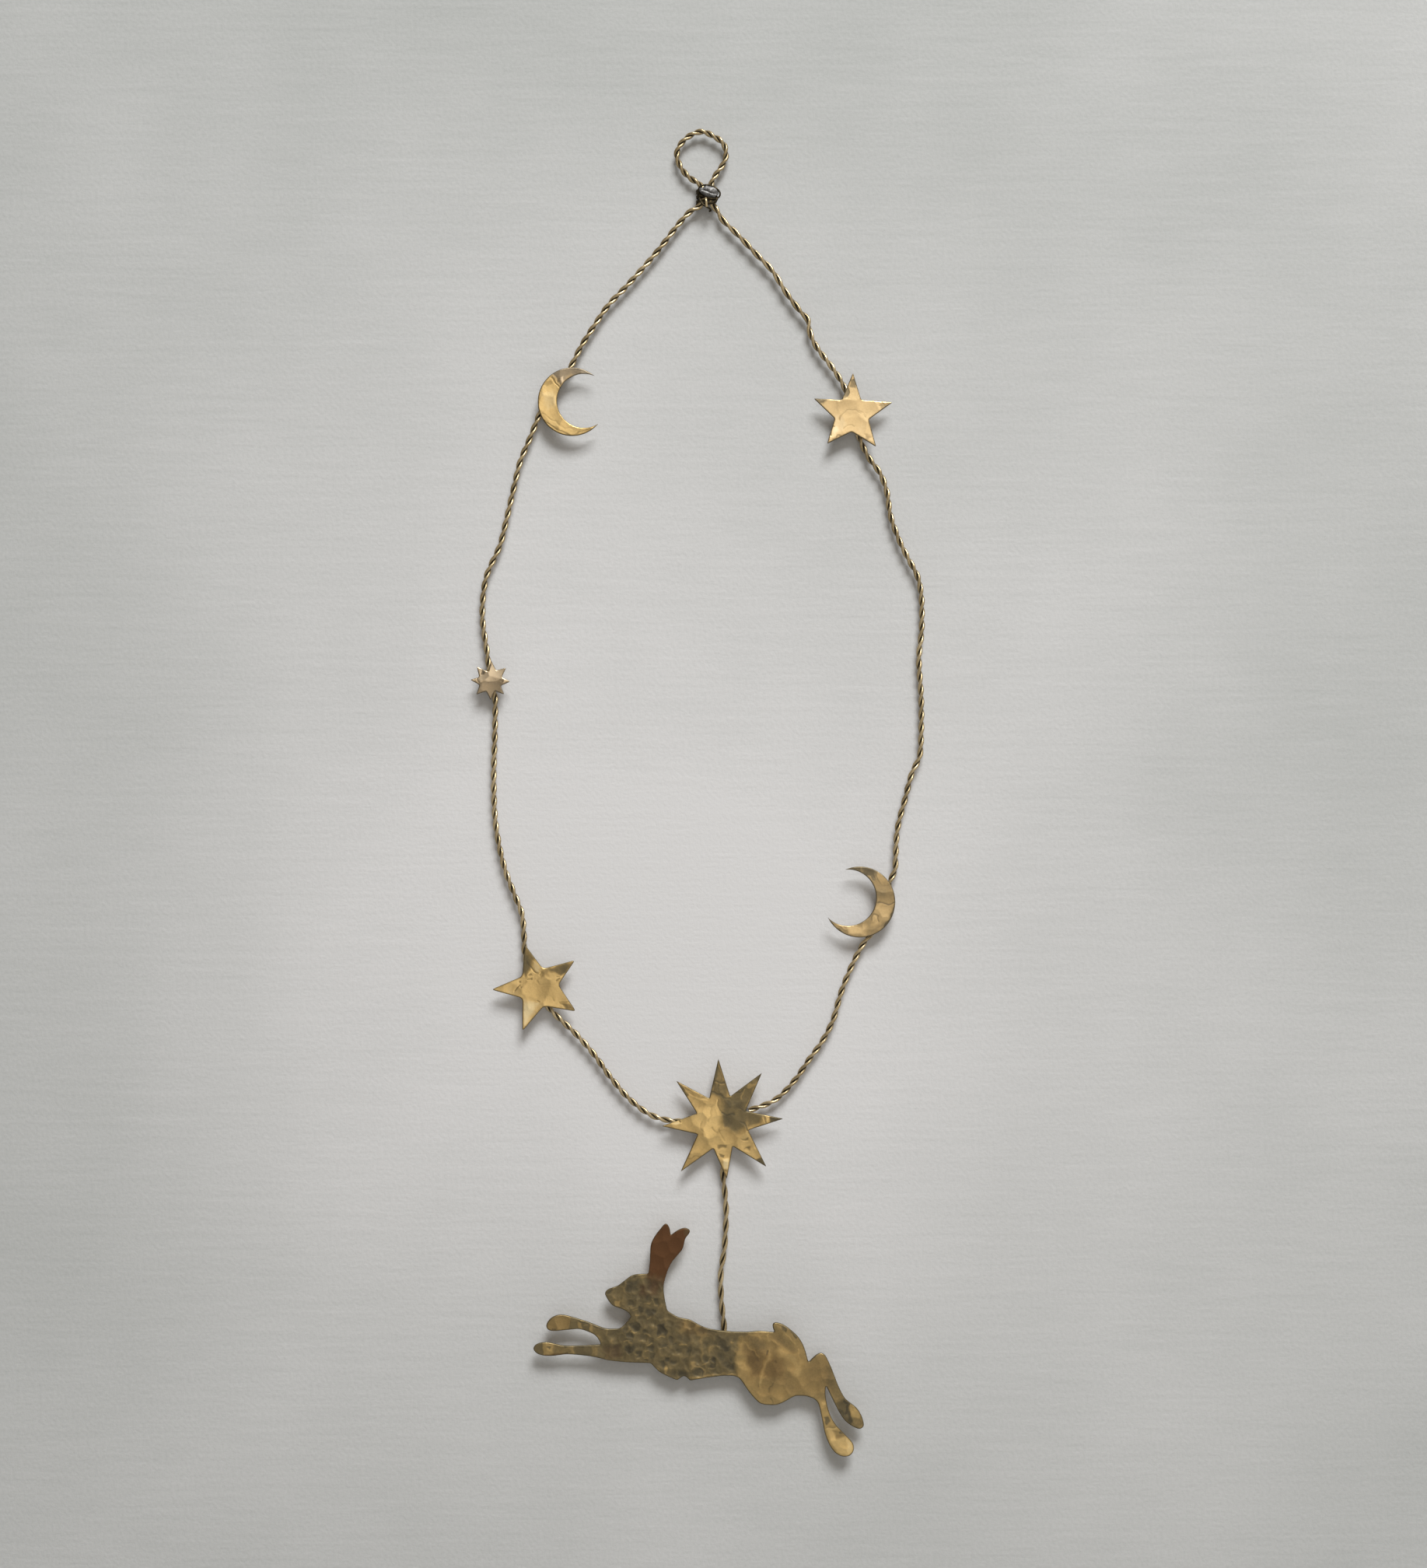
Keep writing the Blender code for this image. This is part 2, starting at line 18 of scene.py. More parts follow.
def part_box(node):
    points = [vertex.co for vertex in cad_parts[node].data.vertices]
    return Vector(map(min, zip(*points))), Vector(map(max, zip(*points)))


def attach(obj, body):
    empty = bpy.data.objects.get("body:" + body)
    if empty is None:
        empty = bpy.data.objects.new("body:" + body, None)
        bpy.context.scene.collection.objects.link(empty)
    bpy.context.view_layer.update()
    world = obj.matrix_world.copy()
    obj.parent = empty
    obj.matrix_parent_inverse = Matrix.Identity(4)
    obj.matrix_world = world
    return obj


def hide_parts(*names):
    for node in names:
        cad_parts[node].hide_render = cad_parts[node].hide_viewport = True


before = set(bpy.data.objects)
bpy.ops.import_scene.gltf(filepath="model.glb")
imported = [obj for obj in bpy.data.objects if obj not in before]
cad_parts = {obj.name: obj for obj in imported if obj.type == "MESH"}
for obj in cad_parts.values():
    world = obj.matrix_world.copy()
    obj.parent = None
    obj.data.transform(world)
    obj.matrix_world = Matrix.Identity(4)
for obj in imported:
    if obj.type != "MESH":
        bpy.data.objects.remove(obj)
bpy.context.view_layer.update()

# Marks on the shapes are placed in quarter millimetres, right and down from the corner of
# a drawing on which the inner top of the hanging eye is at this point
DRAWING_UNIT = 0.00025
DRAWING_ORIGIN = (903.0, 171.7)
MILLIMETRES = 1000

# Wires, as in the solids
STRAND_RADIUS = 0.0005
WIRE_RADIUS = 0.0010
SOLDER_LINE = 0.0003
LOOP_HALF_TURN = 0.0041
SHOULDER_HALF_TURN = 0.0052
EYE_HALF_TURN = 0.0034
DROP_HALF_TURN = 0.0054
EYE_WIDTH = 0.0158
EYE_HEIGHT = 0.0181
NECK_SHIFT = 0.0013
NECK_HEIGHT = 0.0040
NECK_SPACING = 0.0029
LOOP_WIDTH = 0.1415
LOOP_HEIGHT = 0.2965
DROP_LENGTH = 0.0721
DROP_SHIFT = 0.0055
NECK_TOP = WIRE_RADIUS - EYE_HEIGHT
NECK_BOTTOM = NECK_TOP - NECK_HEIGHT
NECK_MIDDLE = (NECK_TOP + NECK_BOTTOM) / 2
CURVE_STEPS = 12
SECTIONS_PER_HALF_TURN = 10
STRAND_SIDES = 12

EYE_BENDS = [
    (19.3, -90.3), (29.2, -74.8), (43.6, -56.3), (48.5, -39.0), (42.3, -20.7), (21.2, -7.4),
    (0.0, 0.0), (-21.1, -5.2), (-40.3, -18.3), (-50.7, -33.8), (-51.7, -44.8), (-45.5, -60.4),
    (-34.2, -74.8), (-20.4, -85.2), (-7.6, -91.7),
]
LEFT_BENDS = [
    (-1.5, -0.6), (-3.6, -1.2), (-5.8, -2.3), (-11.4, -5.7), (-18.1, -9.3), (-22.3, -11.4),
    (-25.6, -13.7), (-28.4, -15.8), (-31.3, -18.4), (-35.7, -20.9), (-38.1, -23.4), (-40.1, -25.8),
    (-42.3, -28.3), (-43.8, -31.2), (-45.5, -34.7), (-47.0, -37.5), (-49.1, -39.7), (-50.2, -41.1),
    (-51.0, -45.0), (-49.8, -49.5), (-49.2, -52.1), (-48.2, -53.6), (-48.1, -56.8), (-48.4, -63.2),
    (-47.9, -68.0), (-45.9, -72.6), (-43.7, -75.4), (-42.0, -77.5), (-41.5, -80.0), (-41.2, -82.3),
    (-38.8, -85.2), (-36.2, -87.5), (-29.6, -90.6), (-25.7, -92.7), (-21.9, -95.2), (-17.3, -97.7),
    (-12.4, -99.4), (-7.6, -100.0), (-1.4, -100.0),
]
RIGHT_BENDS = [
    (3.7, -99.8), (10.1, -98.8), (15.7, -97.7), (20.1, -95.6), (23.3, -93.4), (26.3, -91.4),
    (28.8, -89.1), (30.5, -86.3), (32.5, -83.8), (35.3, -81.1), (38.5, -78.9), (40.6, -76.6),
    (41.7, -74.1), (42.9, -72.8), (43.1, -71.2), (43.5, -68.3), (45.2, -65.1), (46.9, -62.1),
    (48.5, -60.5), (48.9, -57.9), (48.9, -53.9), (48.4, -49.7), (49.0, -46.7), (48.9, -42.8),
    (48.1, -40.9), (45.7, -38.7), (43.8, -36.8), (41.9, -34.2), (41.1, -31.7), (39.6, -29.7),
    (36.9, -27.9), (35.0, -26.0), (33.0, -23.1), (31.5, -20.4), (29.0, -18.4), (24.8, -15.7),
]
SHOULDER_BENDS = [
    (23.5, -14.2), (23.1, -13.0), (21.3, -12.0), (18.0, -9.9), (15.1, -7.7), (11.3, -5.8),
    (7.1, -3.7), (3.5, -2.0), (2.6, -1.2), (1.6, -0.6),
]
DROP_BENDS = [
    (0.0, 0.0), (-0.4, -19.9), (0.5, -28.9), (1.2, -39.0), (0.8, -49.5), (0.3, -56.4),
    (-1.0, -64.1), (-1.2, -72.1), (-0.8, -80.1), (0.2, -88.9), (0.5, -100.0),
]

# Cut outlines of the sheets: the softening is in passes and the angles are in degrees
EDGE_ROUNDING = 0.00018
OUTLINE_SOFTENING = 6
TIP_LENGTHENING = 0.00024
BLUNTING_LOSS = 0.000012
TIP_ANGLE = 95.0
CORNER_ANGLE = 38.0
SHARP_EDGE_ANGLE = 65.0

# Hammering: the flat face of the hammer all over, its round end on the hare's front half
ROW_HEIGHT = 0.866
BLOW_UNEVENNESS = 0.34
DENT_VARIATION = 0.00003
CREST_SOFTENING = 0.00001
HAMMERED_DEPTH = 0.00026
HIGHEST_CREST = 0.0002
SMALL_DENT_DEPTH = 0.00012
PEEN_SPACING = 0.0026
PEEN_BALL = 0.0090
PEEN_DEPTH = 0.00016
BACK_UNDULATION = 0.00006
BACK_WAVES_ACROSS, BACK_WAVES_UP = 700, 620
BACK_COARSENESS = 2.2

# Tarnish and painted light and shade, as a share from 0 for pale gold to 1 for black-brown
# the dark edges are tarnish and painted shade
EDGE_TONE = 0.74
DARK_EDGE_WIDTH = 0.00050
BACK_TONE = 0.42
PEEN_TARNISH = 0.11
SMALL_DENT_TARNISH = 0.03
SHADE_SPREAD = 0.05
SHADE_BLEND = 1.2
WOBBLE = 0.9 * DRAWING_UNIT
MARK_DEPTH = {"stroke": 0.00013, "patch": 0.00014}
MARK_STRENGTH = {"stroke": 0.6, "patch": 0.9}

# The wall, the floor and the camera
WALL_DISTANCE = 0.0024
WALL_HALF_WIDTH = 0.7
WALL_TOP = 0.30
FLOOR_LEVEL = -0.75
FLOOR_HALF_WIDTH = 1.5
# A painted pool of light on the wall: paler round the middle, darker towards the edges
PAINTED_LIGHT_POOL_RADIUS = 0.38
PAINTED_LIGHT_POOL_DROP = 0.06
CAMERA_DISTANCE = 0.741
CAMERA_X, CAMERA_Z = 0.0036, -0.2091
SENSOR_HEIGHT = 24.0
SHEET_FRONT = 0.0015
VIEW_HEIGHT = 0.504
ROOM_COLOUR = (0.045, 0.034, 0.022, 1)


# Finishes


class Number:
    """A number that varies over a surface; arithmetic on it adds the nodes that work it out."""

    def __init__(self, finish, socket):
        self.finish = finish
        self.socket = socket

    def maths(self, operation, first, second):
        node = self.finish.node("ShaderNodeMath", {"operation": operation}, {0: first, 1: second})
        return Number(self.finish, node.outputs[0])

    def __add__(self, other):
        return self.maths("ADD", self, other)

    __radd__ = __add__

    def __sub__(self, other):
        return self.maths("SUBTRACT", self, other)

    def __rsub__(self, other):
        return self.maths("SUBTRACT", other, self)

    def __mul__(self, other):
        return self.maths("MULTIPLY", self, other)

    __rmul__ = __mul__

    def step(self, low, high):
        """Rises smoothly from 0 to 1 while this number goes from low to high."""
        node = self.finish.node(
            "ShaderNodeMapRange",
            {"interpolation_type": "SMOOTHSTEP"},
            {"Value": self, "From Min": low, "From Max": high},
        )
        return Number(self.finish, node.outputs[0])


class Finish:
    """A material made of nodes that read the surface's own place and its painted marks."""

    def __init__(self, name):
        self.material = bpy.data.materials.new(name)
        self.material.use_nodes = True
        self.tree = self.material.node_tree
        self.shader = self.tree.nodes["Principled BSDF"]
        self.place = self.node("ShaderNodeTexCoord").outputs["Object"]

    def feed(self, socket, value):
        value = getattr(value, "socket", value)
        if isinstance(value, bpy.types.NodeSocket):
            self.tree.links.new(value, socket)
        else:
            socket.default_value = value

    def node(self, kind, settings=(), inputs=()):
        """Adds a node, with its settings first and then a value or a link for each input."""
        made = self.tree.nodes.new(kind)
        for name, value in dict(settings).items():
            if name == "stops":
                self.set_stops(made.color_ramp, value)
            else:
                setattr(made, name, value)
        for name, value in dict(inputs).items():
            self.feed(made.inputs[name], value)
        return made

    def set_stops(self, ramp, stops):
        ramp.elements.remove(ramp.elements[1])
        ramp.elements[0].position = stops[0][0]
        ramp.elements[0].color = (*stops[0][1], 1.0)
        for position, colour in stops[1:]:
            ramp.elements.new(position).color = (*colour, 1.0)

    def painted(self, name):
        """A mark that was painted on the piece, from 0 to 1."""
        return Number(self, self.node("ShaderNodeAttribute", {"attribute_name": name}).outputs["Fac"])

    def cloudy(self, size, detail, stretch=(1, 1, 1)):
        """Soft random patches about this many metres across, from 0 to 1."""
        place = self.node("ShaderNodeMapping", {}, {"Vector": self.place, "Scale": stretch})
        spacing = {"Vector": place.outputs[0], "Scale": 1 / size, "Detail": detail}
        return Number(self, self.node("ShaderNodeTexNoise", {}, spacing).outputs[0])

    def toned(self, amount, stops):
        """The colour at this amount along a row of tones."""
        return self.node("ShaderNodeValToRGB", {"stops": stops}, {"Fac": amount}).outputs["Color"]

    def mixed(self, share, first, second):
        """The first colour, and this share of the second over it."""
        node = self.node("ShaderNodeMix", {"data_type": "RGBA"}, {0: share})
        for socket, colour in ((node.inputs[6], first), (node.inputs[7], second)):
            self.feed(socket, (*colour, 1.0) if isinstance(colour, tuple) else colour)
        return node.outputs[2]

    def relief(self, height, depth):
        """Small relief of the surface, up to this many metres deep."""
        bump = self.node("ShaderNodeBump", {}, {"Height": height, "Distance": depth})
        self.feed(self.shader.inputs["Normal"], bump.outputs["Normal"])

    def looks(self, **inputs):
        """Sets or links the shader's own sockets."""
        for name, value in inputs.items():
            self.feed(self.shader.inputs[name.replace("_", " ").title()], value)


# Tones of the brass from pale gold to black-brown, for rubbed places and tarnish as well as painted
# highlights and shade
BRASS_TONES = [
    (0.00, (1.00, 0.84, 0.52)),
    (0.20, (0.83, 0.60, 0.27)),
    (0.40, (0.50, 0.35, 0.15)),
    (0.60, (0.21, 0.16, 0.08)),
    (0.80, (0.085, 0.068, 0.038)),
    (1.00, (0.03, 0.022, 0.012)),
]
WIRE_TONES = [
    (0.00, (0.95, 0.83, 0.58)),
    (0.30, (0.62, 0.49, 0.29)),
    (0.50, (0.34, 0.255, 0.135)),
    (0.70, (0.13, 0.098, 0.05)),
    (1.00, (0.03, 0.022, 0.011)),
]
ASH_TONES = [
    (0.00, (0.92, 0.78, 0.62)),
    (0.40, (0.46, 0.37, 0.27)),
    (0.70, (0.15, 0.125, 0.095)),
    (1.00, (0.03, 0.025, 0.02)),
]
SOLDER_TONES = [
    (0.34, (0.03, 0.027, 0.024)),
    (0.50, (0.12, 0.115, 0.11)),
    (0.66, (0.27, 0.265, 0.26)),
]
WALL_TONES = [
    (0.30, (0.352, 0.356, 0.344)),
    (0.80, (0.556, 0.543, 0.538)),
]
COPPER_COLOUR = (0.115, 0.047, 0.018)


def sheet_brass():
    finish = Finish("hammered_brass")
    tone = finish.painted("tone")
    copper = finish.painted("copper")
    ash = finish.painted("ash")
    blotches = finish.cloudy(0.004, detail=4.0)
    speckle = finish.cloudy(0.0007, detail=3.0)
    grain = finish.cloudy(0.00025, detail=2.0)
    # the painted tone holds tarnish and painted highlights and shade, with random patches over it
    tarnish_and_painted_light = tone + (blotches - 0.5) * 0.16 + (speckle - 0.5) * 0.10
    colour = finish.mixed(ash, finish.toned(tarnish_and_painted_light, BRASS_TONES), finish.toned(tarnish_and_painted_light, ASH_TONES))
    colour = finish.mixed(copper, colour, COPPER_COLOUR)
    finish.relief(speckle * 0.6 + grain * 0.4, 0.00004)
    finish.looks(
        base_color=colour,
        metallic=1.0 - 0.45 * tone.step(0.45, 0.95),
        roughness=0.32 + 0.20 * tarnish_and_painted_light.step(0.15, 0.8) + 0.10 * (blotches - 0.5),
    )
    return finish.material


def wire_brass():
    finish = Finish("twisted_wire_brass")
    groove = finish.painted("groove")
    patches = finish.cloudy(0.009, detail=3.0)
    speckle = finish.cloudy(0.0005, detail=3.0)
    grain = finish.cloudy(0.0003, detail=2.0)
    # darker where the strands touch: tarnish there, and painted shade between them
    tone = 0.46 + 0.55 * groove.step(0.50, 0.88) + (patches - 0.5) * 0.5 + (speckle - 0.5) * 0.15
    finish.relief(grain, 0.00002)
    finish.looks(
        base_color=finish.toned(tone, WIRE_TONES),
        metallic=0.66 - 0.1 * groove.step(0.4, 1.0),
        roughness=0.28 + 0.2 * tone.step(0.4, 0.9),
    )
    return finish.material


def burnt_wire():
    finish = Finish("burnt_wire")
    scale = finish.cloudy(0.0006, detail=4.0)
    finish.relief(scale, 0.00006)
    finish.looks(
        base_color=finish.toned(0.98 + (scale - 0.5) * 0.8, WIRE_TONES),
        metallic=0.9,
        roughness=0.30 + 0.3 * scale,
    )
    return finish.material


def soft_solder():
    finish = Finish("soft_solder")
    pits = finish.cloudy(0.0009, detail=4.0)
    grain = finish.cloudy(0.0003, detail=3.0)
    finish.relief(pits * 0.7 + grain * 0.3, 0.00012)
    finish.looks(
        base_color=finish.toned(pits * 0.6 + grain * 0.4, SOLDER_TONES),
        metallic=0.85,
        roughness=0.38 + 0.25 * grain,
    )
    return finish.material


def plaster():
    """The pale wall, which shows only from in front, with a painted pool of light that makes it paler round
    the middle.
    """
    finish = Finish("pale_wall")
    clouds = finish.cloudy(0.16, detail=5.0)
    grain = finish.cloudy(0.0012, detail=4.0)
    brushed = finish.cloudy(0.0022, detail=3.0, stretch=(0.07, 1, 1))
    middle = finish.node("ShaderNodeMapping", {}, {
        "Vector": finish.place,
        "Location": (0, 0, (PAINTED_LIGHT_POOL_DROP - CAMERA_Z) / PAINTED_LIGHT_POOL_RADIUS),
        "Scale": (1 / PAINTED_LIGHT_POOL_RADIUS,) * 3,
    })
    ball = {"gradient_type": "QUADRATIC_SPHERE"}
    painted_light_pool = finish.node("ShaderNodeTexGradient", ball, {"Vector": middle.outputs[0]}).outputs["Fac"]
    # painted light: the wall is paler round the middle
    shade = clouds * 0.5 + grain * 0.18 + brushed * 0.12 + Number(finish, painted_light_pool) * 0.55
    finish.relief(grain * 0.6 + brushed * 0.4, 0.00018)
    finish.looks(base_color=finish.toned(shade, WALL_TONES), roughness=0.9 + 0.05 * grain)
    behind = finish.node("ShaderNodeNewGeometry").outputs["Backfacing"]
    clear = finish.node("ShaderNodeBsdfTransparent").outputs[0]
    seen = finish.node("ShaderNodeMixShader", {}, {0: behind, 2: clear})
    finish.feed(seen.inputs[1], finish.shader.outputs[0])
    finish.feed(finish.tree.nodes["Material Output"].inputs["Surface"], seen.outputs[0])
    return finish.material


# Painted marks


def drawn(x, y):
    """A place on the drawing as (x, z) in metres."""
    return ((x - DRAWING_ORIGIN[0]) * DRAWING_UNIT, (DRAWING_ORIGIN[1] - y) * DRAWING_UNIT)


def stroke(tone, width, *points, soft=0.8):
    """A painted line of this width through the points."""
    return ("stroke", tone, width, soft, points)


def patch(tone, *points, soft=1.2):
    """A painted area inside the points."""
    return ("patch", tone, 0.0, soft, points)


def line_distance(places, line):
    """Distance of each place from a line through points."""
    if len(line) == 1:
        return np.hypot(*(places - line[0]).T)
    least = np.full(len(places), np.inf)
    for a, b in zip(line, line[1:]):
        ab = b - a
        share = np.clip(((places - a) @ ab) / max(ab @ ab, 1e-18), 0, 1)
        least = np.minimum(least, np.hypot(*(places - a - share[:, None] * ab).T))
    return least


def inside(places, outline):
    """Whether each place is inside a closed outline."""
    found = np.zeros(len(places), bool)
    for a, b in zip(outline, np.roll(outline, -1, axis=0)):
        if a[1] != b[1]:
            level = (a[1] > places[:, 1]) != (b[1] > places[:, 1])
            cross = a[0] + (b[0] - a[0]) * (places[:, 1] - a[1]) / (b[1] - a[1])
            found ^= level & (places[:, 0] < cross)
    return found


def covered(places, mark):
    """How far a mark covers each place, from 0 to 1."""
    kind, _, width, soft, points = mark
    line = np.array([drawn(*point) for point in points])
    soft = soft * DRAWING_UNIT
    if kind == "stroke":
        beyond = line_distance(places, line) - width * DRAWING_UNIT / 2
    else:
        beyond = line_distance(places, np.vstack([line, line[:1]]))
        beyond = np.where(inside(places, line), -beyond, beyond)
    share = np.clip(0.5 - beyond / (2 * soft), 0, 1)
    return share * share * (3 - 2 * share)


def wobbled(places):
    """The places shifted a little this way and that, so that painted edges come out uneven."""
    x, z = places.T / DRAWING_UNIT
    across = np.sin(x * 0.31 + 1.7 * np.sin(z * 0.23)) + 0.5 * np.sin(z * 0.57 + x * 0.19)
    up = np.sin(z * 0.35 + 1.9 * np.sin(x * 0.21 + 2)) + 0.5 * np.sin(x * 0.61 - z * 0.17)
    return places + WOBBLE * np.column_stack([across, up])


def paint(values, places, marks, pressed=None):
    """Sets the values towards each mark's own; a dark mark is also pressed in, a pale one raised."""
    places = wobbled(places)
    for mark in marks:
        cover = covered(places, mark)
        if pressed is not None:
            pressed += MARK_DEPTH[mark[0]] * (mark[1] - values) * cover
        values += (mark[1] - values) * cover * MARK_STRENGTH[mark[0]]
    return values


# Hammered sheets


def sheet_outline(node):
    """The cut outline of a sheet as (x, z) points, anticlockwise, from its flat back."""
    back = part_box(node)[1].y
    solid = bmesh.new()
    solid.from_mesh(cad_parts[node].data)
    bmesh.ops.remove_doubles(solid, verts=solid.verts, dist=1e-6)
    follows = {}
    for edge in solid.edges:
        flat = [f for f in edge.link_faces if all(abs(v.co.y - back) < 1e-5 for v in f.verts)]
        if len(flat) == 1:
            corner = next(c for c in edge.link_loops if c.face == flat[0])
            follows[corner.vert] = corner.link_loop_next.vert
    start = min(follows, key=lambda v: (v.co.x, v.co.z))
    outline, vert = [], start
    while not outline or vert != start:
        outline.append(Vector((vert.co.x, vert.co.z)))
        vert = follows[vert]
    solid.free()
    area = sum(a.x * b.y - b.x * a.y for a, b in zip(outline, outline[1:] + outline[:1]))
    return outline if area > 0 else outline[::-1]


def smooth_between(before, a, b, after, count):
    """Points of a rounded line from a to b, b left out; it leaves a corner straight."""
    length = (b - a).length
    out_of = (b - (a if before is None else before)).normalized() * length
    into = ((b if after is None else after) - a).normalized() * length
    points = []
    for i in range(count):
        t = i / count
        start, leaving = 2 * t**3 - 3 * t**2 + 1, t**3 - 2 * t**2 + t
        points.append(a * start + out_of * leaving + b * (1 - start) + into * (t**3 - t**2))
    return points


def fine_outline(outline, spacing, blunting):
    """The outline in short steps, its curves rounded and its corners barely so, unless blunted."""
    count = len(outline)
    lengthening = TIP_LENGTHENING + blunting * BLUNTING_LOSS
    turns = [
        math.degrees((outline[i] - outline[i - 1]).angle_signed(outline[(i + 1) % count] - outline[i]))
        for i in range(count)
    ]
    corner = [abs(turn) > CORNER_ANGLE for turn in turns]
    tips = [
        (2 * outline[i] - outline[i - 1] - outline[(i + 1) % count]).normalized() * lengthening
        if turns[i] < -TIP_ANGLE else Vector((0, 0)) for i in range(count)
    ]
    outline = [place + tip for place, tip in zip(outline, tips)]
    fine = []
    for i in range(count):
        j = (i + 1) % count
        before = None if corner[i] else outline[i - 1]
        after = None if corner[j] else outline[(j + 1) % count]
        steps = max(1, round((outline[j] - outline[i]).length / spacing))
        fine.extend(smooth_between(before, outline[i], outline[j], after, steps))
    fine = np.array(fine)
    for _ in range(OUTLINE_SOFTENING + blunting):
        fine = 0.5 * fine + 0.25 * (np.roll(fine, 1, axis=0) + np.roll(fine, -1, axis=0))
    return fine


def inset(outline, distance):
    """The outline moved inwards, less where it is narrow."""
    ahead = np.roll(outline, -1, axis=0) - np.roll(outline, 1, axis=0)
    ahead /= np.hypot(*ahead.T)[:, None]
    inwards = np.column_stack([-ahead[:, 1], ahead[:, 0]])
    distances = np.full(len(outline), distance)
    for _ in range(5):
        moved = outline + distances[:, None] * inwards
        too_far = nearest(moved, outline)[1] < 0.85 * distances
        distances[too_far] *= 0.6
        for _ in range(2):
            around = np.minimum(np.roll(distances, 1), np.roll(distances, -1))
            distances = np.minimum(distances, 0.5 * (distances + around))
    return outline + distances[:, None] * inwards


def nearest(places, points):
    """Which of the points is nearest to each place, and how far away it is."""
    tree = KDTree(len(points))
    for i, (x, z) in enumerate(points):
        tree.insert((x, z, 0), i)
    tree.balance()
    found = [tree.find((x, z, 0)) for x, z in places]
    return np.array([f[1] for f in found]), np.array([f[2] for f in found])


def staggered_rows(low, high, spacing):
    """Evenly spaced places between two corners, every other row half a step further on."""
    rows = []
    for row, z in enumerate(np.arange(low[1], high[1], spacing * ROW_HEIGHT)):
        x = np.arange(low[0] + spacing * 0.5 * (row % 2), high[0], spacing)
        rows.append(np.column_stack([x, np.full(len(x), z)]))
    return np.vstack(rows)


def flat_mesh(outline, spacing):
    """Places and triangles that fill the outline; the outline's places come first."""
    filling = staggered_rows(outline.min(0), outline.max(0), spacing)
    filling = filling[inside(filling, outline)]
    filling = filling[nearest(filling, outline)[1] > spacing * 0.6]
    places = np.vstack([outline, filling])
    count = len(outline)
    ring = [(i, (i + 1) % count) for i in range(count)]
    points = [Vector((x * MILLIMETRES, z * MILLIMETRES)) for x, z in places]
    found, _, faces, sources, _, _ = delaunay_2d_cdt(points, ring, [], 1, 1e-7)
    index = []
    for place, source in zip(found, sources):
        index.append(source[0] if source else len(places))
        if not source:
            places = np.vstack([places, np.array(place) / MILLIMETRES])
    return places, [[index[i] for i in face] for face in faces]


def hammer_blows(outline, spacing, seed):
    """Uneven places of the hammer blows over the sheet and just past its edge."""
    draw = random.Random(seed)
    blows = []
    for x, z in staggered_rows(outline.min(0) - spacing, outline.max(0) + spacing, spacing):
        across = draw.uniform(-BLOW_UNEVENNESS, BLOW_UNEVENNESS)
        up = draw.uniform(-BLOW_UNEVENNESS, BLOW_UNEVENNESS)
        blows.append((x + across * spacing, z + up * spacing, draw.uniform(-1, 1)))
    return blows


def hammered_depth(places, blows, ball):
    """Depth below the untouched sheet at each place, as the deepest of the round dents."""
    depth = np.full(len(places), -np.inf)
    for x, z, deeper in blows:
        away = (places[:, 0] - x) ** 2 + (places[:, 1] - z) ** 2
        dent = deeper * DENT_VARIATION - away / (2 * ball)
        depth = np.logaddexp(depth / CREST_SOFTENING, dent / CREST_SOFTENING) * CREST_SOFTENING
    return depth


def small_dents(places, dents):
    """Share of the small dents' depth at each place, 0 on the crests between them."""
    share = np.zeros(len(places))
    places = wobbled(places)
    for x, y, radius in dents:
        away = np.hypot(*(places - drawn(x, y)).T) / (radius * DRAWING_UNIT)
        share = np.maximum(share, 1 - away**2)
    return share


def hammered_sheet(
    node, seed, base_tone, marks, spacing, blow_spacing, ball, blunting=0, slot="bright_brass",
    ash_marks=(), copper_marks=(), peened_marks=(), dents=(),
):
    """A sheet cut to its node's outline, hammered in front, with rounded and darkened edges."""
    outline = fine_outline(sheet_outline(node), spacing, blunting)
    rim = inset(outline, EDGE_ROUNDING)
    places, triangles = flat_mesh(rim, spacing)
    blows = hammer_blows(outline, blow_spacing, seed)
    depth = hammered_depth(places, blows, ball)
    tone = base_tone + shades(places, blows, seed + 50)
    tone = paint(tone, places, marks, depth)
    if dents:
        peened = paint(np.zeros(len(places)), places, peened_marks)
        peen_blows = hammer_blows(outline, PEEN_SPACING, seed + 9)
        fine = np.clip(1 + hammered_depth(wobbled(places), peen_blows, PEEN_BALL) / PEEN_DEPTH, 0, 1)
        deep = small_dents(places, dents)
        depth += peened * PEEN_DEPTH * fine + SMALL_DENT_DEPTH * deep
        tone += peened * (PEEN_TARNISH * (fine - 0.5) + shades(places, peen_blows, seed + 60))
        tone += SMALL_DENT_TARNISH * np.clip(2 * deep, 0, 1) * peened
    # the cut edges are darkened with tarnish and painted shade
    tone += (EDGE_TONE - tone) * edge_tarnish_and_shade(places, outline)
    copper = paint(np.zeros(len(places)), places, copper_marks)
    ash = paint(np.zeros(len(places)), places, ash_marks)

    front_y, back_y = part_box(node)[0].y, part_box(node)[1].y
    depth = np.clip(depth - depth.max() + HAMMERED_DEPTH, -HIGHEST_CREST, None)
    front = np.column_stack([places[:, 0], front_y + depth, places[:, 1]])
    behind, back_triangles = flat_mesh(rim, spacing * BACK_COARSENESS)
    sway = np.sin(behind[:, 0] * BACK_WAVES_ACROSS + seed) * np.sin(behind[:, 1] * BACK_WAVES_UP - seed)
    back = np.column_stack([behind[:, 0], back_y + BACK_UNDULATION * (sway - 1), behind[:, 1]])

    mesh = sheet_mesh(f"hammered_{node}", outline, front, triangles, back, back_triangles)
    beyond = 2 * len(outline) + len(back)
    sides_and_back = [EDGE_TONE] * (2 * len(outline)) + [BACK_TONE] * len(back)
    mark_points(mesh, "tone", np.concatenate([tone, sides_and_back]))
    mark_points(mesh, "copper", np.concatenate([copper, np.zeros(beyond)]))
    mark_points(mesh, "ash", np.concatenate([ash, np.zeros(beyond)]))
    put(mesh, BRASS, slot, node)


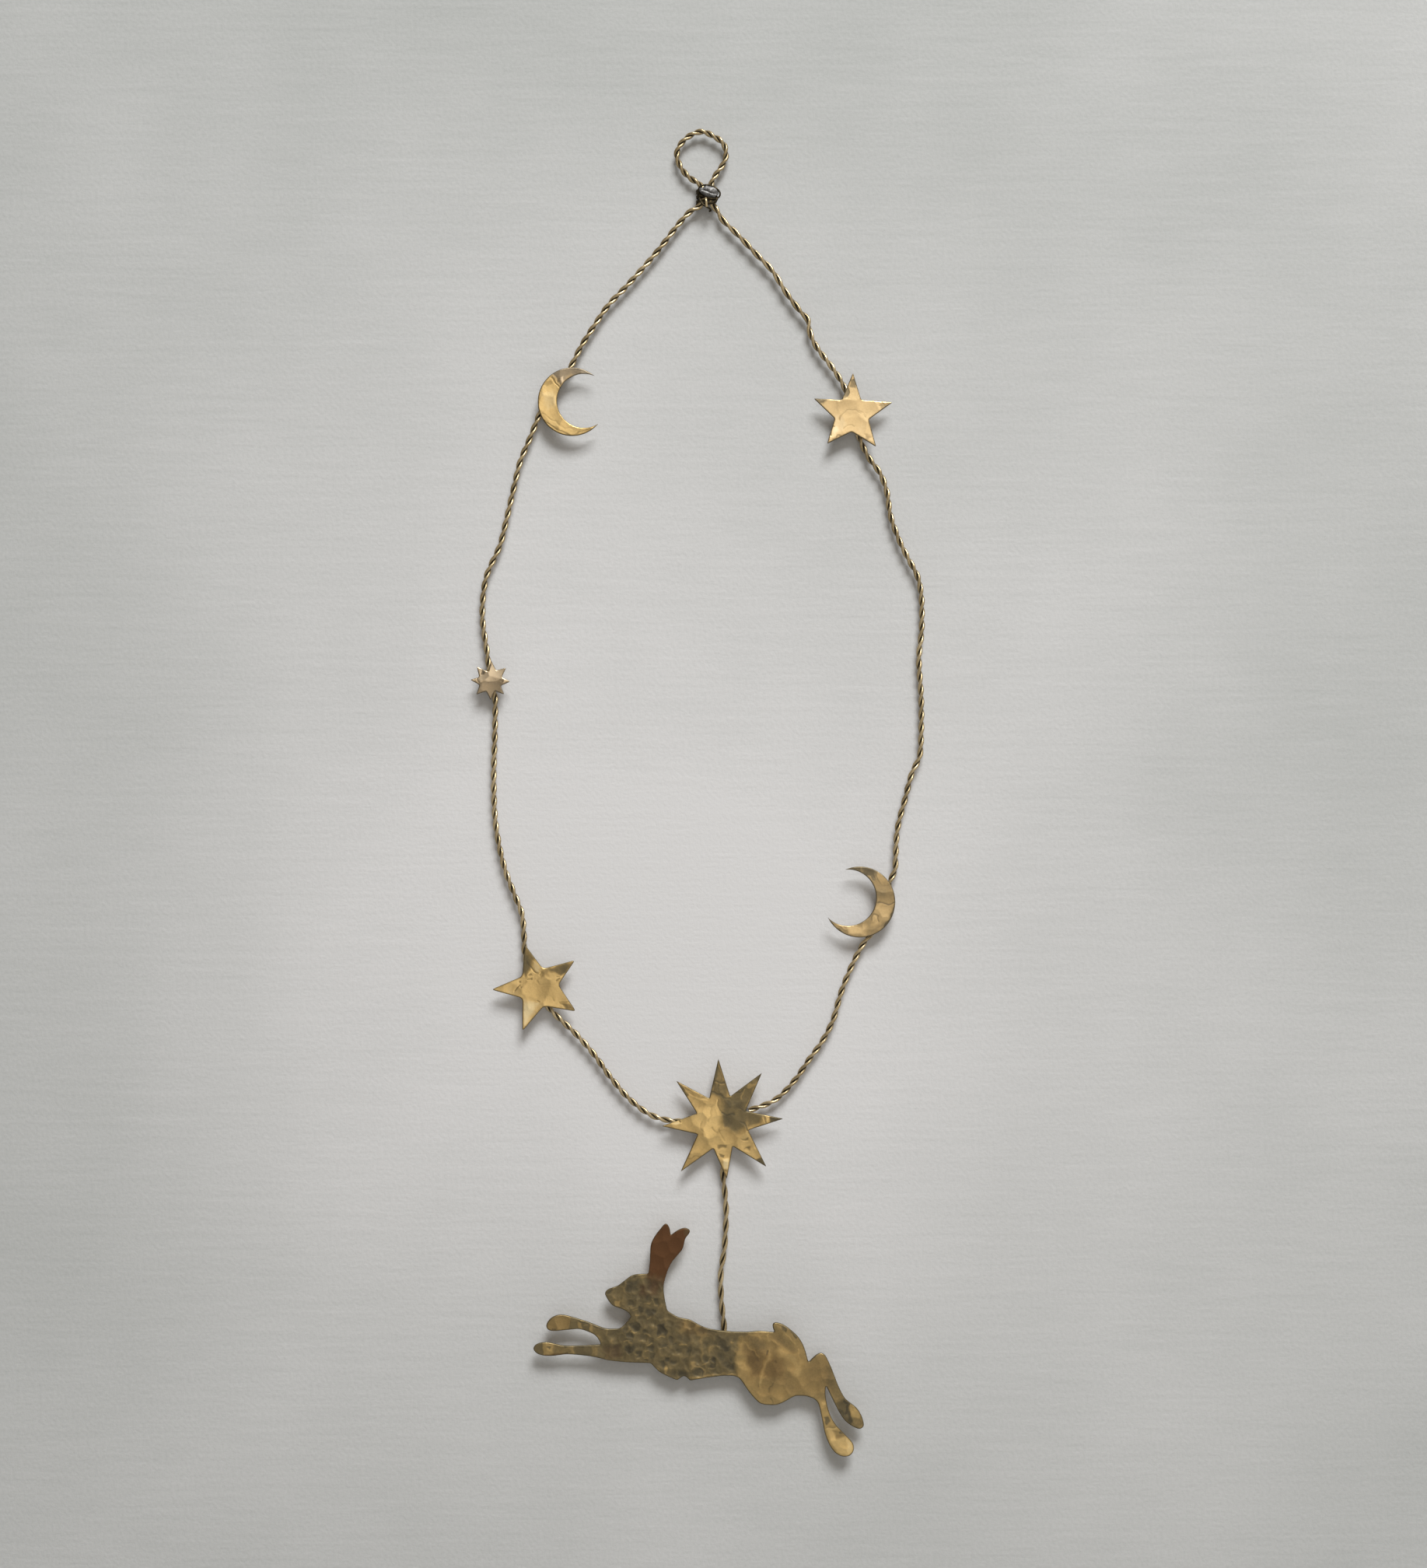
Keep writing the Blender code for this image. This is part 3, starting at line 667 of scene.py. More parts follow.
def sheet_mesh(name, outline, front, triangles, back, back_triangles):
    """The front and the back of a sheet, joined by a rim with rounded edges."""
    count = len(outline)
    front_rim = np.column_stack([outline[:, 0], front[:count, 1] + EDGE_ROUNDING, outline[:, 1]])
    back_rim = np.column_stack([outline[:, 0], back[:count, 1] - EDGE_ROUNDING, outline[:, 1]])
    f, b = len(front), len(front) + 2 * count
    faces = [tuple(t) for t in triangles]
    for i in range(count):
        j = (i + 1) % count
        faces.append((i, f + i, f + j, j))
        faces.append((f + i, f + count + i, f + count + j, f + j))
        faces.append((f + count + i, b + i, b + j, f + count + j))
    faces += [tuple(b + i for i in reversed(t)) for t in back_triangles]

    mesh = new_mesh(name, np.vstack([front, front_rim, back_rim, back]).tolist(), faces)
    mesh.validate()
    outward(mesh)
    mesh.shade_smooth()
    mesh.set_sharp_from_angle(angle=math.radians(SHARP_EDGE_ANGLE))
    return mesh


def mark_points(mesh, label, values):
    """Keeps a painted mark's value at each point of a mesh, for the finish to read."""
    layer = mesh.attributes.new(label, "FLOAT", "POINT")
    layer.data.foreach_set("value", np.array(values, np.float32))


def edge_tarnish_and_shade(places, outline):
    """Share of darkening along the cut edges: tarnish all round, and painted shade that makes the ones that
    face down and left darker.
    """
    near, distance = nearest(places, outline)
    ahead = np.roll(outline, -2, axis=0) - np.roll(outline, 2, axis=0)
    ahead /= np.hypot(*ahead.T)[:, None]
    facing = ahead[near, 1] * -0.4 + ahead[near, 0] * 0.9
    # painted shade: the edges that face down and left come out darker than those that face up and right
    strength = 0.45 + 0.55 * np.clip(0.5 + 0.6 * facing, 0, 1)
    return strength * np.clip(1 - distance / DARK_EDGE_WIDTH, 0, 1)


def shades(places, blows, seed):
    """A slightly different tone for the dent of each blow."""
    draw = random.Random(seed)
    away = [(places[:, 0] - x) ** 2 + (places[:, 1] - z) ** 2 for x, z, _ in blows]
    least = np.min(away, axis=0)
    total, weight = np.zeros(len(places)), np.zeros(len(places))
    for distance in away:
        share = np.exp((least - distance) / (SHADE_BLEND * least.mean()))
        total += draw.uniform(-SHADE_SPREAD, SHADE_SPREAD) * share
        weight += share
    return total / weight


# Pieces in the scene


def new_mesh(name, verts, faces):
    mesh = bpy.data.meshes.new(name)
    mesh.from_pydata(verts, [], faces)
    return mesh


def outward(mesh):
    """Turns the faces of a closed mesh outwards."""
    shape = bmesh.new()
    shape.from_mesh(mesh)
    bmesh.ops.recalc_face_normals(shape, faces=shape.faces)
    shape.to_mesh(mesh)
    shape.free()


def linked(name, data):
    """A new object in the scene that shows this mesh, light or camera."""
    made = bpy.data.objects.new(name, data)
    bpy.context.scene.collection.objects.link(made)
    return made


def put(mesh, material, slot, *nodes):
    """Puts a finished piece in the scene, on the ornament's only body."""
    mesh.materials.append(material)
    piece = linked(mesh.name, mesh)
    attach(piece, "root")
    if nodes:
        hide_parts(*nodes)


# Twisted wires


def smooth_curve(points, steps):
    """A centripetal Catmull-Rom curve through the points, with this many steps between two."""
    ends = [points[0] * 2 - points[1], *points, points[-1] * 2 - points[-2]]
    curve = []
    for a, b, c, d in zip(ends, ends[1:], ends[2:], ends[3:]):
        at_b = (b - a).length ** 0.5
        at_c = at_b + (c - b).length ** 0.5
        at_d = at_c + (d - c).length ** 0.5
        for step in range(steps):
            t = at_b + (at_c - at_b) * step / steps
            ab = a.lerp(b, t / at_b)
            bc = b.lerp(c, (t - at_b) / (at_c - at_b))
            cd = c.lerp(d, (t - at_c) / (at_d - at_c))
            abc = ab.lerp(bc, t / at_c)
            bcd = bc.lerp(cd, (t - at_b) / (at_d - at_b))
            curve.append(abc.lerp(bcd, (t - at_b) / (at_c - at_b)))
    curve.append(points[-1].copy())
    return curve


def bends(shares, x, z, width, height, half_turn):
    """Points of a wire as (x, z, length of a half turn of its twist)."""
    return [Vector((x + width * px / 100, z + height * pz / 100, half_turn)) for px, pz in shares]


def neck_point(side, height, half_turn):
    """A point in the neck: side -1 is the left wire and 1 the right one."""
    return Vector((NECK_SHIFT + side * NECK_SPACING / 2, height, half_turn))


def twist_sections(curve):
    """The (x, z), direction and angle of each section, evenly spaced in the wire's twist."""
    pieces = list(zip(curve, curve[1:]))
    turned = sum((b - a).xy.length / a.z for a, b in pieces)
    count = round(turned * SECTIONS_PER_HALF_TURN)
    spacing = turned / count
    sections = []
    phase = 0.0
    for a, b in pieces:
        step = (b - a).xy.length / a.z
        while len(sections) <= count and len(sections) * spacing <= phase + step + 1e-9:
            share = (len(sections) * spacing - phase) / step
            angle = math.pi * len(sections) * spacing
            sections.append((a.lerp(b, share).xy, (b - a).xy.normalized(), angle))
        phase += step
    return sections


def twisted_wire(name, points, node):
    """Two round strands twisted together along the points, darkened where they touch with tarnish and
    painted shade.
    """
    sections = twist_sections(smooth_curve(points, CURVE_STEPS))
    outwards = Vector((0, -1, 0))
    verts, faces, grooves = [], [], []
    for strand in (0, 1):
        centres, arms = [], []
        for place, direction, angle in sections:
            angle += math.pi * strand
            across = Vector((-direction.y, 0, direction.x))
            arm = across * math.cos(angle) + outwards * math.sin(angle)
            centres.append(Vector((place.x, 0, place.y)) + arm * STRAND_RADIUS)
            arms.append(arm)
        first = len(verts)
        for i, (centre, arm) in enumerate(zip(centres, arms)):
            ahead = (centres[min(i + 1, len(centres) - 1)] - centres[max(i - 1, 0)]).normalized()
            side = (arm - ahead * arm.dot(ahead)).normalized()
            other = ahead.cross(side)
            for k in range(STRAND_SIDES):
                turn = 2 * math.pi * k / STRAND_SIDES
                verts.append(centre + STRAND_RADIUS * (side * math.cos(turn) + other * math.sin(turn)))
                grooves.append(0.5 - 0.5 * math.cos(turn))
        for i in range(len(centres) - 1):
            for k in range(STRAND_SIDES):
                here, there = first + i * STRAND_SIDES, first + (i + 1) * STRAND_SIDES
                after = (k + 1) % STRAND_SIDES
                faces.append((here + k, here + after, there + after, there + k))
        faces.append(tuple(reversed(range(first, first + STRAND_SIDES))))
        last = first + (len(centres) - 1) * STRAND_SIDES
        faces.append(tuple(range(last, last + STRAND_SIDES)))
    mesh = new_mesh(name, verts, faces)
    outward(mesh)
    mesh.shade_smooth()
    mark_points(mesh, "groove", grooves)
    put(mesh, WIRE, "wire_brass", node)
    return [place for place, _, _ in sections]


def wires():
    """The two twisted wires; gives back the places along their middles as (x, z)."""
    placed = (NECK_SHIFT, NECK_BOTTOM, LOOP_WIDTH, LOOP_HEIGHT)
    middles = twisted_wire("loop_and_eye", [
        neck_point(-1, NECK_MIDDLE - SOLDER_LINE / 2, LOOP_HALF_TURN),
        neck_point(-1, NECK_BOTTOM, LOOP_HALF_TURN),
        *bends(LEFT_BENDS, *placed, LOOP_HALF_TURN),
        *bends(RIGHT_BENDS, *placed, LOOP_HALF_TURN),
        *bends(SHOULDER_BENDS, *placed, SHOULDER_HALF_TURN),
        neck_point(1, NECK_BOTTOM, EYE_HALF_TURN),
        neck_point(1, NECK_MIDDLE, EYE_HALF_TURN),
        neck_point(1, NECK_TOP, EYE_HALF_TURN),
        *bends(EYE_BENDS, 0, WIRE_RADIUS, EYE_WIDTH, EYE_HEIGHT, EYE_HALF_TURN),
        neck_point(-1, NECK_TOP, EYE_HALF_TURN),
        neck_point(-1, NECK_MIDDLE + SOLDER_LINE / 2, EYE_HALF_TURN),
    ], "twisted_wire_loop")
    drop_top = (NECK_SHIFT + DROP_SHIFT, NECK_BOTTOM - LOOP_HEIGHT - WIRE_RADIUS - SOLDER_LINE)
    drop = bends(DROP_BENDS, *drop_top, DROP_LENGTH, DROP_LENGTH, DROP_HALF_TURN)
    return middles + twisted_wire("drop_twist", drop, "drop_wire")


# Binding and solder: places are right and down on the drawing, then out in millimetres

TURNS = 4
STEPS_PER_TURN = 16
TURNS_MIDDLE = 908.2
TOP_TURN = 242
TURN_SPACING = 4.6
TURN_REACH = 11.6
TURN_LEAN = 1.5
TURN_DEPTH = 1.45
TURN_SQUARENESS = 0.7
TURN_RADIUS = 0.00048
RING_RADIUS = 0.00028
RING = [
    (902, 251, 0.4), (898.5, 248, 1.2), (898.2, 243.5, 1.8), (902, 239.6, 2.1), (908, 238.6, 2.2),
    (916, 240.2, 2.3), (922, 244.0, 2.3), (925.8, 249.0, 2.2), (924.4, 254, 2.0), (918, 256, 1.9),
    (910, 254.6, 1.9), (903, 251.6, 1.6), (899, 250, 0.9),
]
CURL_RADIUS = 0.00032
CURL = [
    (899, 254, 1.2), (901, 259, 1.8), (904, 263.5, 2.0), (908, 266, 2.0), (912, 268.3, 1.8),
    (914, 270.5, 1.5), (912, 271.5, 1.1),
]
BOW_RADIUS = 0.00038
BOW = [(921, 252, 1.3), (922, 256, 1.8), (919, 260, 1.9), (913, 261.5, 1.8), (906, 260, 1.2)]
CUT_END_RADIUS = 0.00040
CUT_END = [(907.4, 254, 1.6), (908, 259, 2.3), (908.6, 266.5, 2.2)]
BINDING_CURVE_STEPS = 6

SOLDER_MIDDLE = (912.0, 246.9, 2.15)
SOLDER_SIZES = (0.0030, 0.00080, 0.00172)
SOLDER_TILT = -17
SOLDER_UNEVENNESS = 0.10
CREASE = [(903, 245.5), (909, 247), (915, 250), (921, 250.5)]
CREASE_DEPTH = 0.00035
CREASE_HALF_WIDTH = 0.0005
JOINT_OUT = 0.00095
JOINT_SIZES = (0.0013, 0.00045, 0.0017)
JOINT_UNEVENNESS = 0.12

# Where the shapes are soldered to the wire behind them
SOLDERED = [
    (726, 482), (702, 524), (1099, 520), (1108, 548), (630, 872), (631, 884), (688, 1250),
    (704, 1278), (1144, 1148), (1122, 1184), (886, 1446), (958, 1428), (928, 1490), (930, 1440),
    (931, 1722), (932, 1737),
]


def at(x, y, out):
    """A place on the drawing, this many millimetres out in front of the wires' middle."""
    across, up = drawn(x, y)
    return Vector((across, -out / MILLIMETRES, up))


def round_wire(shape, points, radius):
    """Adds a plain round wire through the points to a mesh being built, with domed ends."""
    curve = smooth_curve([at(*point) for point in points], BINDING_CURVE_STEPS)
    turns = [2 * math.pi * k / STRAND_SIDES for k in range(STRAND_SIDES)]
    rings = []
    side = Vector((0, -1, 0))
    for i, centre in enumerate(curve):
        ahead = (curve[min(i + 1, len(curve) - 1)] - curve[max(i - 1, 0)]).normalized()
        side = (side - ahead * side.dot(ahead)).normalized()
        other = ahead.cross(side)
        ring = [centre + radius * (side * math.cos(turn) + other * math.sin(turn)) for turn in turns]
        rings.append([shape.verts.new(place) for place in ring])
    for here, there in zip(rings, rings[1:]):
        for k in range(STRAND_SIDES):
            shape.faces.new((here[k - 1], here[k], there[k], there[k - 1]))
    for ring, end, before in ((rings[0], curve[0], curve[1]), (rings[-1], curve[-1], curve[-2])):
        tip = shape.verts.new(end + (end - before).normalized() * radius * 0.5)
        for k in range(STRAND_SIDES):
            shape.faces.new((ring[k - 1], ring[k], tip))


def finished(shape, name, material, slot, *nodes):
    """Makes a piece of a mesh that was built."""
    mesh = bpy.data.meshes.new(name)
    bmesh.ops.recalc_face_normals(shape, faces=shape.faces)
    shape.to_mesh(mesh)
    shape.free()
    mesh.shade_smooth()
    put(mesh, material, slot, *nodes)


def wound_turns():
    """Points of the squarish turns round the neck, which lean and lie a little unevenly."""
    points = []
    for step in range(TURNS * STEPS_PER_TURN + 1):
        angle = 2 * math.pi * step / STEPS_PER_TURN
        across = math.copysign(abs(math.cos(angle)) ** TURN_SQUARENESS, math.cos(angle))
        out = math.copysign(abs(math.sin(angle)) ** TURN_SQUARENESS, math.sin(angle))
        uneven = math.sin(angle * 1.7 + 1)
        y = TOP_TURN + TURN_SPACING * step / STEPS_PER_TURN + uneven + TURN_LEAN * across
        points.append((TURNS_MIDDLE - TURN_REACH * across, y, TURN_DEPTH * out))
    return points


def neck_binding():
    """Burnt wire wound round the neck, its ring round the drop of solder, and its curled end."""
    shape = bmesh.new()
    round_wire(shape, wound_turns(), TURN_RADIUS)
    round_wire(shape, RING, RING_RADIUS)
    round_wire(shape, CURL, CURL_RADIUS)
    round_wire(shape, BOW, BOW_RADIUS)
    finished(shape, "wound_binding", burnt_wire(), "tarnish", "neck_binding")

    shape = bmesh.new()
    round_wire(shape, CUT_END, CUT_END_RADIUS)
    finished(shape, "cut_wire_end", WIRE, "wire_brass")


def solder_drop(shape, centre, sizes, tilt, seed, unevenness):
    """Adds an uneven rounded drop of solder to a mesh being built."""
    made = bmesh.ops.create_icosphere(shape, subdivisions=4, radius=1)["verts"]
    for vert in made:
        p = vert.co.copy()
        swell = math.sin(p.x * 2.6 + seed) * math.sin(p.z * 3.1 - seed)
        swell += 0.6 * math.sin(p.x * 5 + p.z * 4 + seed)
        p *= 1 + unevenness * swell
        x, z = p.x * sizes[0], p.z * sizes[2]
        turned = Vector((
            x * math.cos(tilt) - z * math.sin(tilt), p.y * sizes[1], x * math.sin(tilt) + z * math.cos(tilt)
        ))
        vert.co = Vector(centre) + turned
    return made


def neck_solder():
    """The drop of solder on the front of the binding, with a crease across it."""
    shape = bmesh.new()
    tilt = math.radians(SOLDER_TILT)
    made = solder_drop(shape, at(*SOLDER_MIDDLE), SOLDER_SIZES, tilt, 1.0, SOLDER_UNEVENNESS)
    crease = [Vector(drawn(*place)) for place in CREASE]
    for vert in made:
        flat = Vector((vert.co.x, vert.co.z))
        away = min((flat - a.lerp(b, t / 6)).length for a, b in zip(crease, crease[1:]) for t in range(7))
        vert.co.y += CREASE_DEPTH * max(0.0, 1 - away / CREASE_HALF_WIDTH) ** 2
    finished(shape, "drop_of_solder", SOLDER, "solder", "neck_solder")


def solder_joints(middles):
    """Small fillets between the wire and the back of each shape."""
    shape = bmesh.new()
    for i, spot in enumerate(SOLDERED):
        target = Vector(drawn(*spot))
        place = min(middles, key=lambda middle: (middle - target).length)
        solder_drop(shape, (place.x, -JOINT_OUT, place.y), JOINT_SIZES, 0.3 * i, i, JOINT_UNEVENNESS)
    finished(shape, "solder_joints", SOLDER, "solder")


# Tarnish, rubbed places, and painted highlights and shade on the sides of ridges and dents of each shape:
# the tone of each, from 0 for pale gold to 1 for black-brown

UPPER_MOON_MARKS = [
    patch(0.56, (703, 470), (770, 465), (775, 495), (735, 482), (722, 494), (712, 484), soft=3),
    stroke(0.62, 2, (709, 485), (714, 492), (720, 499)),
    stroke(0.66, 2, (713, 482), (718, 491)),
    patch(0.40, (702, 490), (708, 490), (709, 494), (704, 498), (700, 495)),
    patch(0.12, (719, 489), (725, 485), (724, 495)),
    stroke(0.70, 2.5, (738, 475), (749, 476), (762, 481)),
    stroke(0.55, 1.5, (748, 478), (751, 480)),
    # painted shade along the crease, and a painted highlight along the inner lower edge
    stroke(0.38, 1.5, (697, 532), (712, 541), (722, 547), (727, 551), (745, 552)),
    stroke(0.05, 2.5, (722, 528), (730, 540), (742, 548), (760, 549)),
    stroke(0.60, 1.5, (700, 540), (712, 552), (735, 560), (764, 549)),
    patch(0.14, (696, 505), (712, 500), (716, 520), (704, 528), soft=4),
]

UPPER_STAR_MARKS = [
    patch(0.60, (1092, 488), (1097, 487), (1102, 494), (1099, 500), (1093, 498)),
    stroke(0.80, 2, (1097, 488), (1103, 500)),
    patch(0.62, (1086, 500), (1091, 499), (1092, 507), (1087, 514), (1083, 513)),
    stroke(0.78, 2, (1091, 500), (1092, 505), (1089, 511)),
    stroke(0.84, 3, (1078, 515), (1083, 514)),
    patch(0.62, (1046, 511), (1066, 513), (1058, 520), (1052, 519), soft=2),
    stroke(0.88, 2.5, (1046, 512), (1065, 513.5)),
    stroke(0.10, 3, (1128, 517), (1143, 518)),
    patch(0.52, (1131, 521), (1144, 518), (1140, 524), (1134, 528)),
    stroke(0.60, 1.5, (1133, 519), (1138, 523), (1136, 528)),
    # painted highlights at the lower left, brightest in the small pale spot
    patch(0.14, (1066, 540), (1080, 532), (1090, 548), (1076, 562), (1064, 566), soft=4),
    patch(0.00, (1071, 550), (1076, 548), (1077, 556), (1073, 558), soft=2),
    stroke(0.44, 1.3, (1078, 541), (1082, 532), (1090, 527), (1100, 528), (1106, 531)),
    stroke(0.46, 1.3, (1103, 527), (1110, 531), (1114, 537)),
    stroke(0.42, 1.3, (1085, 552), (1090, 547), (1097, 549)),
    stroke(0.60, 2.5, (1067, 560), (1068, 553), (1071, 549)),
    stroke(0.58, 1.6, (1072, 566), (1078, 560), (1081, 562)),
    patch(0.34, (1072, 516), (1092, 510), (1094, 520), (1078, 527), soft=3),
    patch(0.44, (1112, 560), (1119, 559), (1121, 563), (1115, 565), soft=2),
    patch(0.26, (1108, 522), (1124, 520), (1121, 530), (1110, 536), soft=3),
]

TINY_STAR_MARKS = [
    patch(0.74, (618, 859), (622, 861), (623, 867), (618, 868)),
    patch(0.52, (604, 877), (655, 877), (650, 892), (630, 904), (610, 892), soft=2),
    patch(0.46, (613, 880), (645, 880), (640, 888), (620, 888), soft=2),
    # painted highlight above the ridge and painted shade below it
    stroke(0.20, 1.5, (612, 873), (618, 876), (632, 875.5), (646, 873.5)),
    stroke(0.58, 1.5, (613, 875), (619, 878), (633, 877.5), (646, 875.5)),
]

# Grey film over the tarnish, from 0 to 1
TINY_STAR_ASH = [patch(0.80, (595, 845), (665, 845), (665, 915), (595, 915))]
UPPER_STAR_ASH = [patch(0.35, (1030, 470), (1160, 470), (1160, 610), (1030, 610))]
LOWER_MOON_ASH = [patch(0.30, (1060, 1100), (1170, 1100), (1170, 1220), (1060, 1220))]
UPPER_MOON_ASH = [
    patch(0.85, (703, 470), (770, 465), (775, 495), (735, 482), (722, 494), (712, 484), soft=3),
]

LOWER_STAR_MARKS = [
    patch(0.56, (671, 1214), (680, 1212), (690, 1230), (684, 1240), (673, 1240), soft=4),
    patch(0.66, (671, 1227), (680, 1230), (682, 1243), (676, 1254), (671, 1252), soft=3),
    stroke(0.76, 2, (677, 1236), (684, 1245), (690, 1250)),
    patch(0.12, (685, 1236), (692, 1240), (697, 1248), (690, 1250)),
    stroke(0.66, 1.6, (681, 1254), (684, 1254)),
    stroke(0.66, 1.6, (679, 1259), (683, 1258)),
    stroke(0.52, 1.5, (689, 1262), (694, 1265), (699, 1266)),
    patch(0.12, (706, 1244), (720, 1236), (736, 1232), (722, 1240), (710, 1246), soft=1.5),
    patch(0.60, (700, 1248), (722, 1240), (737, 1236), (730, 1247), (722, 1254), (712, 1251), soft=2.5),
    patch(0.68, (720, 1245), (732, 1241), (728, 1250), (722, 1254), soft=2.5),
    stroke(0.70, 1.6, (715, 1260), (720, 1259)),
    stroke(0.55, 1.2, (716, 1256), (721, 1256)),
    stroke(0.54, 1.5, (693, 1254), (696, 1248), (706, 1244)),
    patch(0.50, (694, 1248), (706, 1246), (705, 1254), (696, 1256), soft=2.5),
    patch(0.22, (638, 1268), (662, 1258), (668, 1272), (650, 1276), soft=3),
    stroke(0.58, 1.8, (661, 1274), (665, 1270), (669, 1267)),
    stroke(0.70, 1.8, (668, 1262)),
    stroke(0.68, 1.8, (671, 1270)),
    stroke(0.56, 1.5, (690, 1286), (693, 1288)),
    stroke(0.50, 1.5, (703, 1279), (709, 1281), (712, 1288)),
    stroke(0.54, 1.8, (720, 1288), (733, 1289)),
    patch(0.60, (720, 1290), (734, 1291), (740, 1299), (728, 1297), soft=2),
    patch(0.00, (670, 1288), (692, 1290), (680, 1314), (672, 1322), soft=5),
    patch(0.32, (686, 1262), (716, 1262), (712, 1286), (690, 1284), soft=6),
]

LOWER_MOON_MARKS = [
    patch(0.72, (1083, 1113), (1107, 1113), (1108, 1121), (1090, 1120)),
    patch(0.70, (1107, 1112), (1127, 1117), (1125, 1130), (1110, 1123), soft=2.5),
    stroke(0.70, 1.8, (1111, 1122), (1117, 1126), (1123, 1131)),
    patch(0.38, (1129, 1121), (1140, 1130), (1136, 1138), (1128, 1131), soft=1.5),
    stroke(0.66, 1.8, (1127, 1122), (1128, 1131), (1136, 1139), (1142, 1138)),
    patch(0.47, (1126, 1132), (1146, 1138), (1151, 1150), (1146, 1160), (1128, 1160), soft=4),
    patch(0.51, (1129, 1145), (1138, 1144), (1139, 1153), (1130, 1154), soft=4),
    # painted shade and, just below it, a painted highlight on the sides of a ridge
    stroke(0.70, 2.0, (1128, 1162), (1136, 1160), (1142, 1163), (1149, 1161)),
    stroke(0.32, 1.6, (1129, 1164.5), (1136, 1162.5), (1142, 1165.5), (1148, 1164)),
    patch(0.31, (1122, 1166), (1144, 1167), (1142, 1184), (1122, 1190), soft=4),
    # painted shade and, just below it, a painted highlight on the sides of a ridge
    stroke(0.62, 1.6, (1119, 1182), (1123, 1176), (1129, 1178), (1130, 1184)),
    stroke(0.22, 1.6, (1121, 1184), (1124, 1178.5), (1128, 1180)),
    stroke(0.95, 2.2, (1140, 1124), (1148, 1136), (1152, 1150), (1151, 1166), (1146, 1180), (1138, 1190)),
    stroke(0.54, 1.5, (1140, 1186), (1130, 1192), (1120, 1198)),
    # a painted highlight and, just below it, painted shade on the sides of a ridge
    stroke(0.16, 1.6, (1080, 1190), (1087, 1195), (1097, 1194), (1108, 1192)),
    stroke(0.52, 1.4, (1080, 1192), (1087, 1197), (1097, 1196)),
    stroke(0.78, 2.5, (1063, 1180), (1072, 1191), (1084, 1199)),
    patch(0.24, (1085, 1190), (1115, 1190), (1112, 1203), (1095, 1202), soft=4),
]

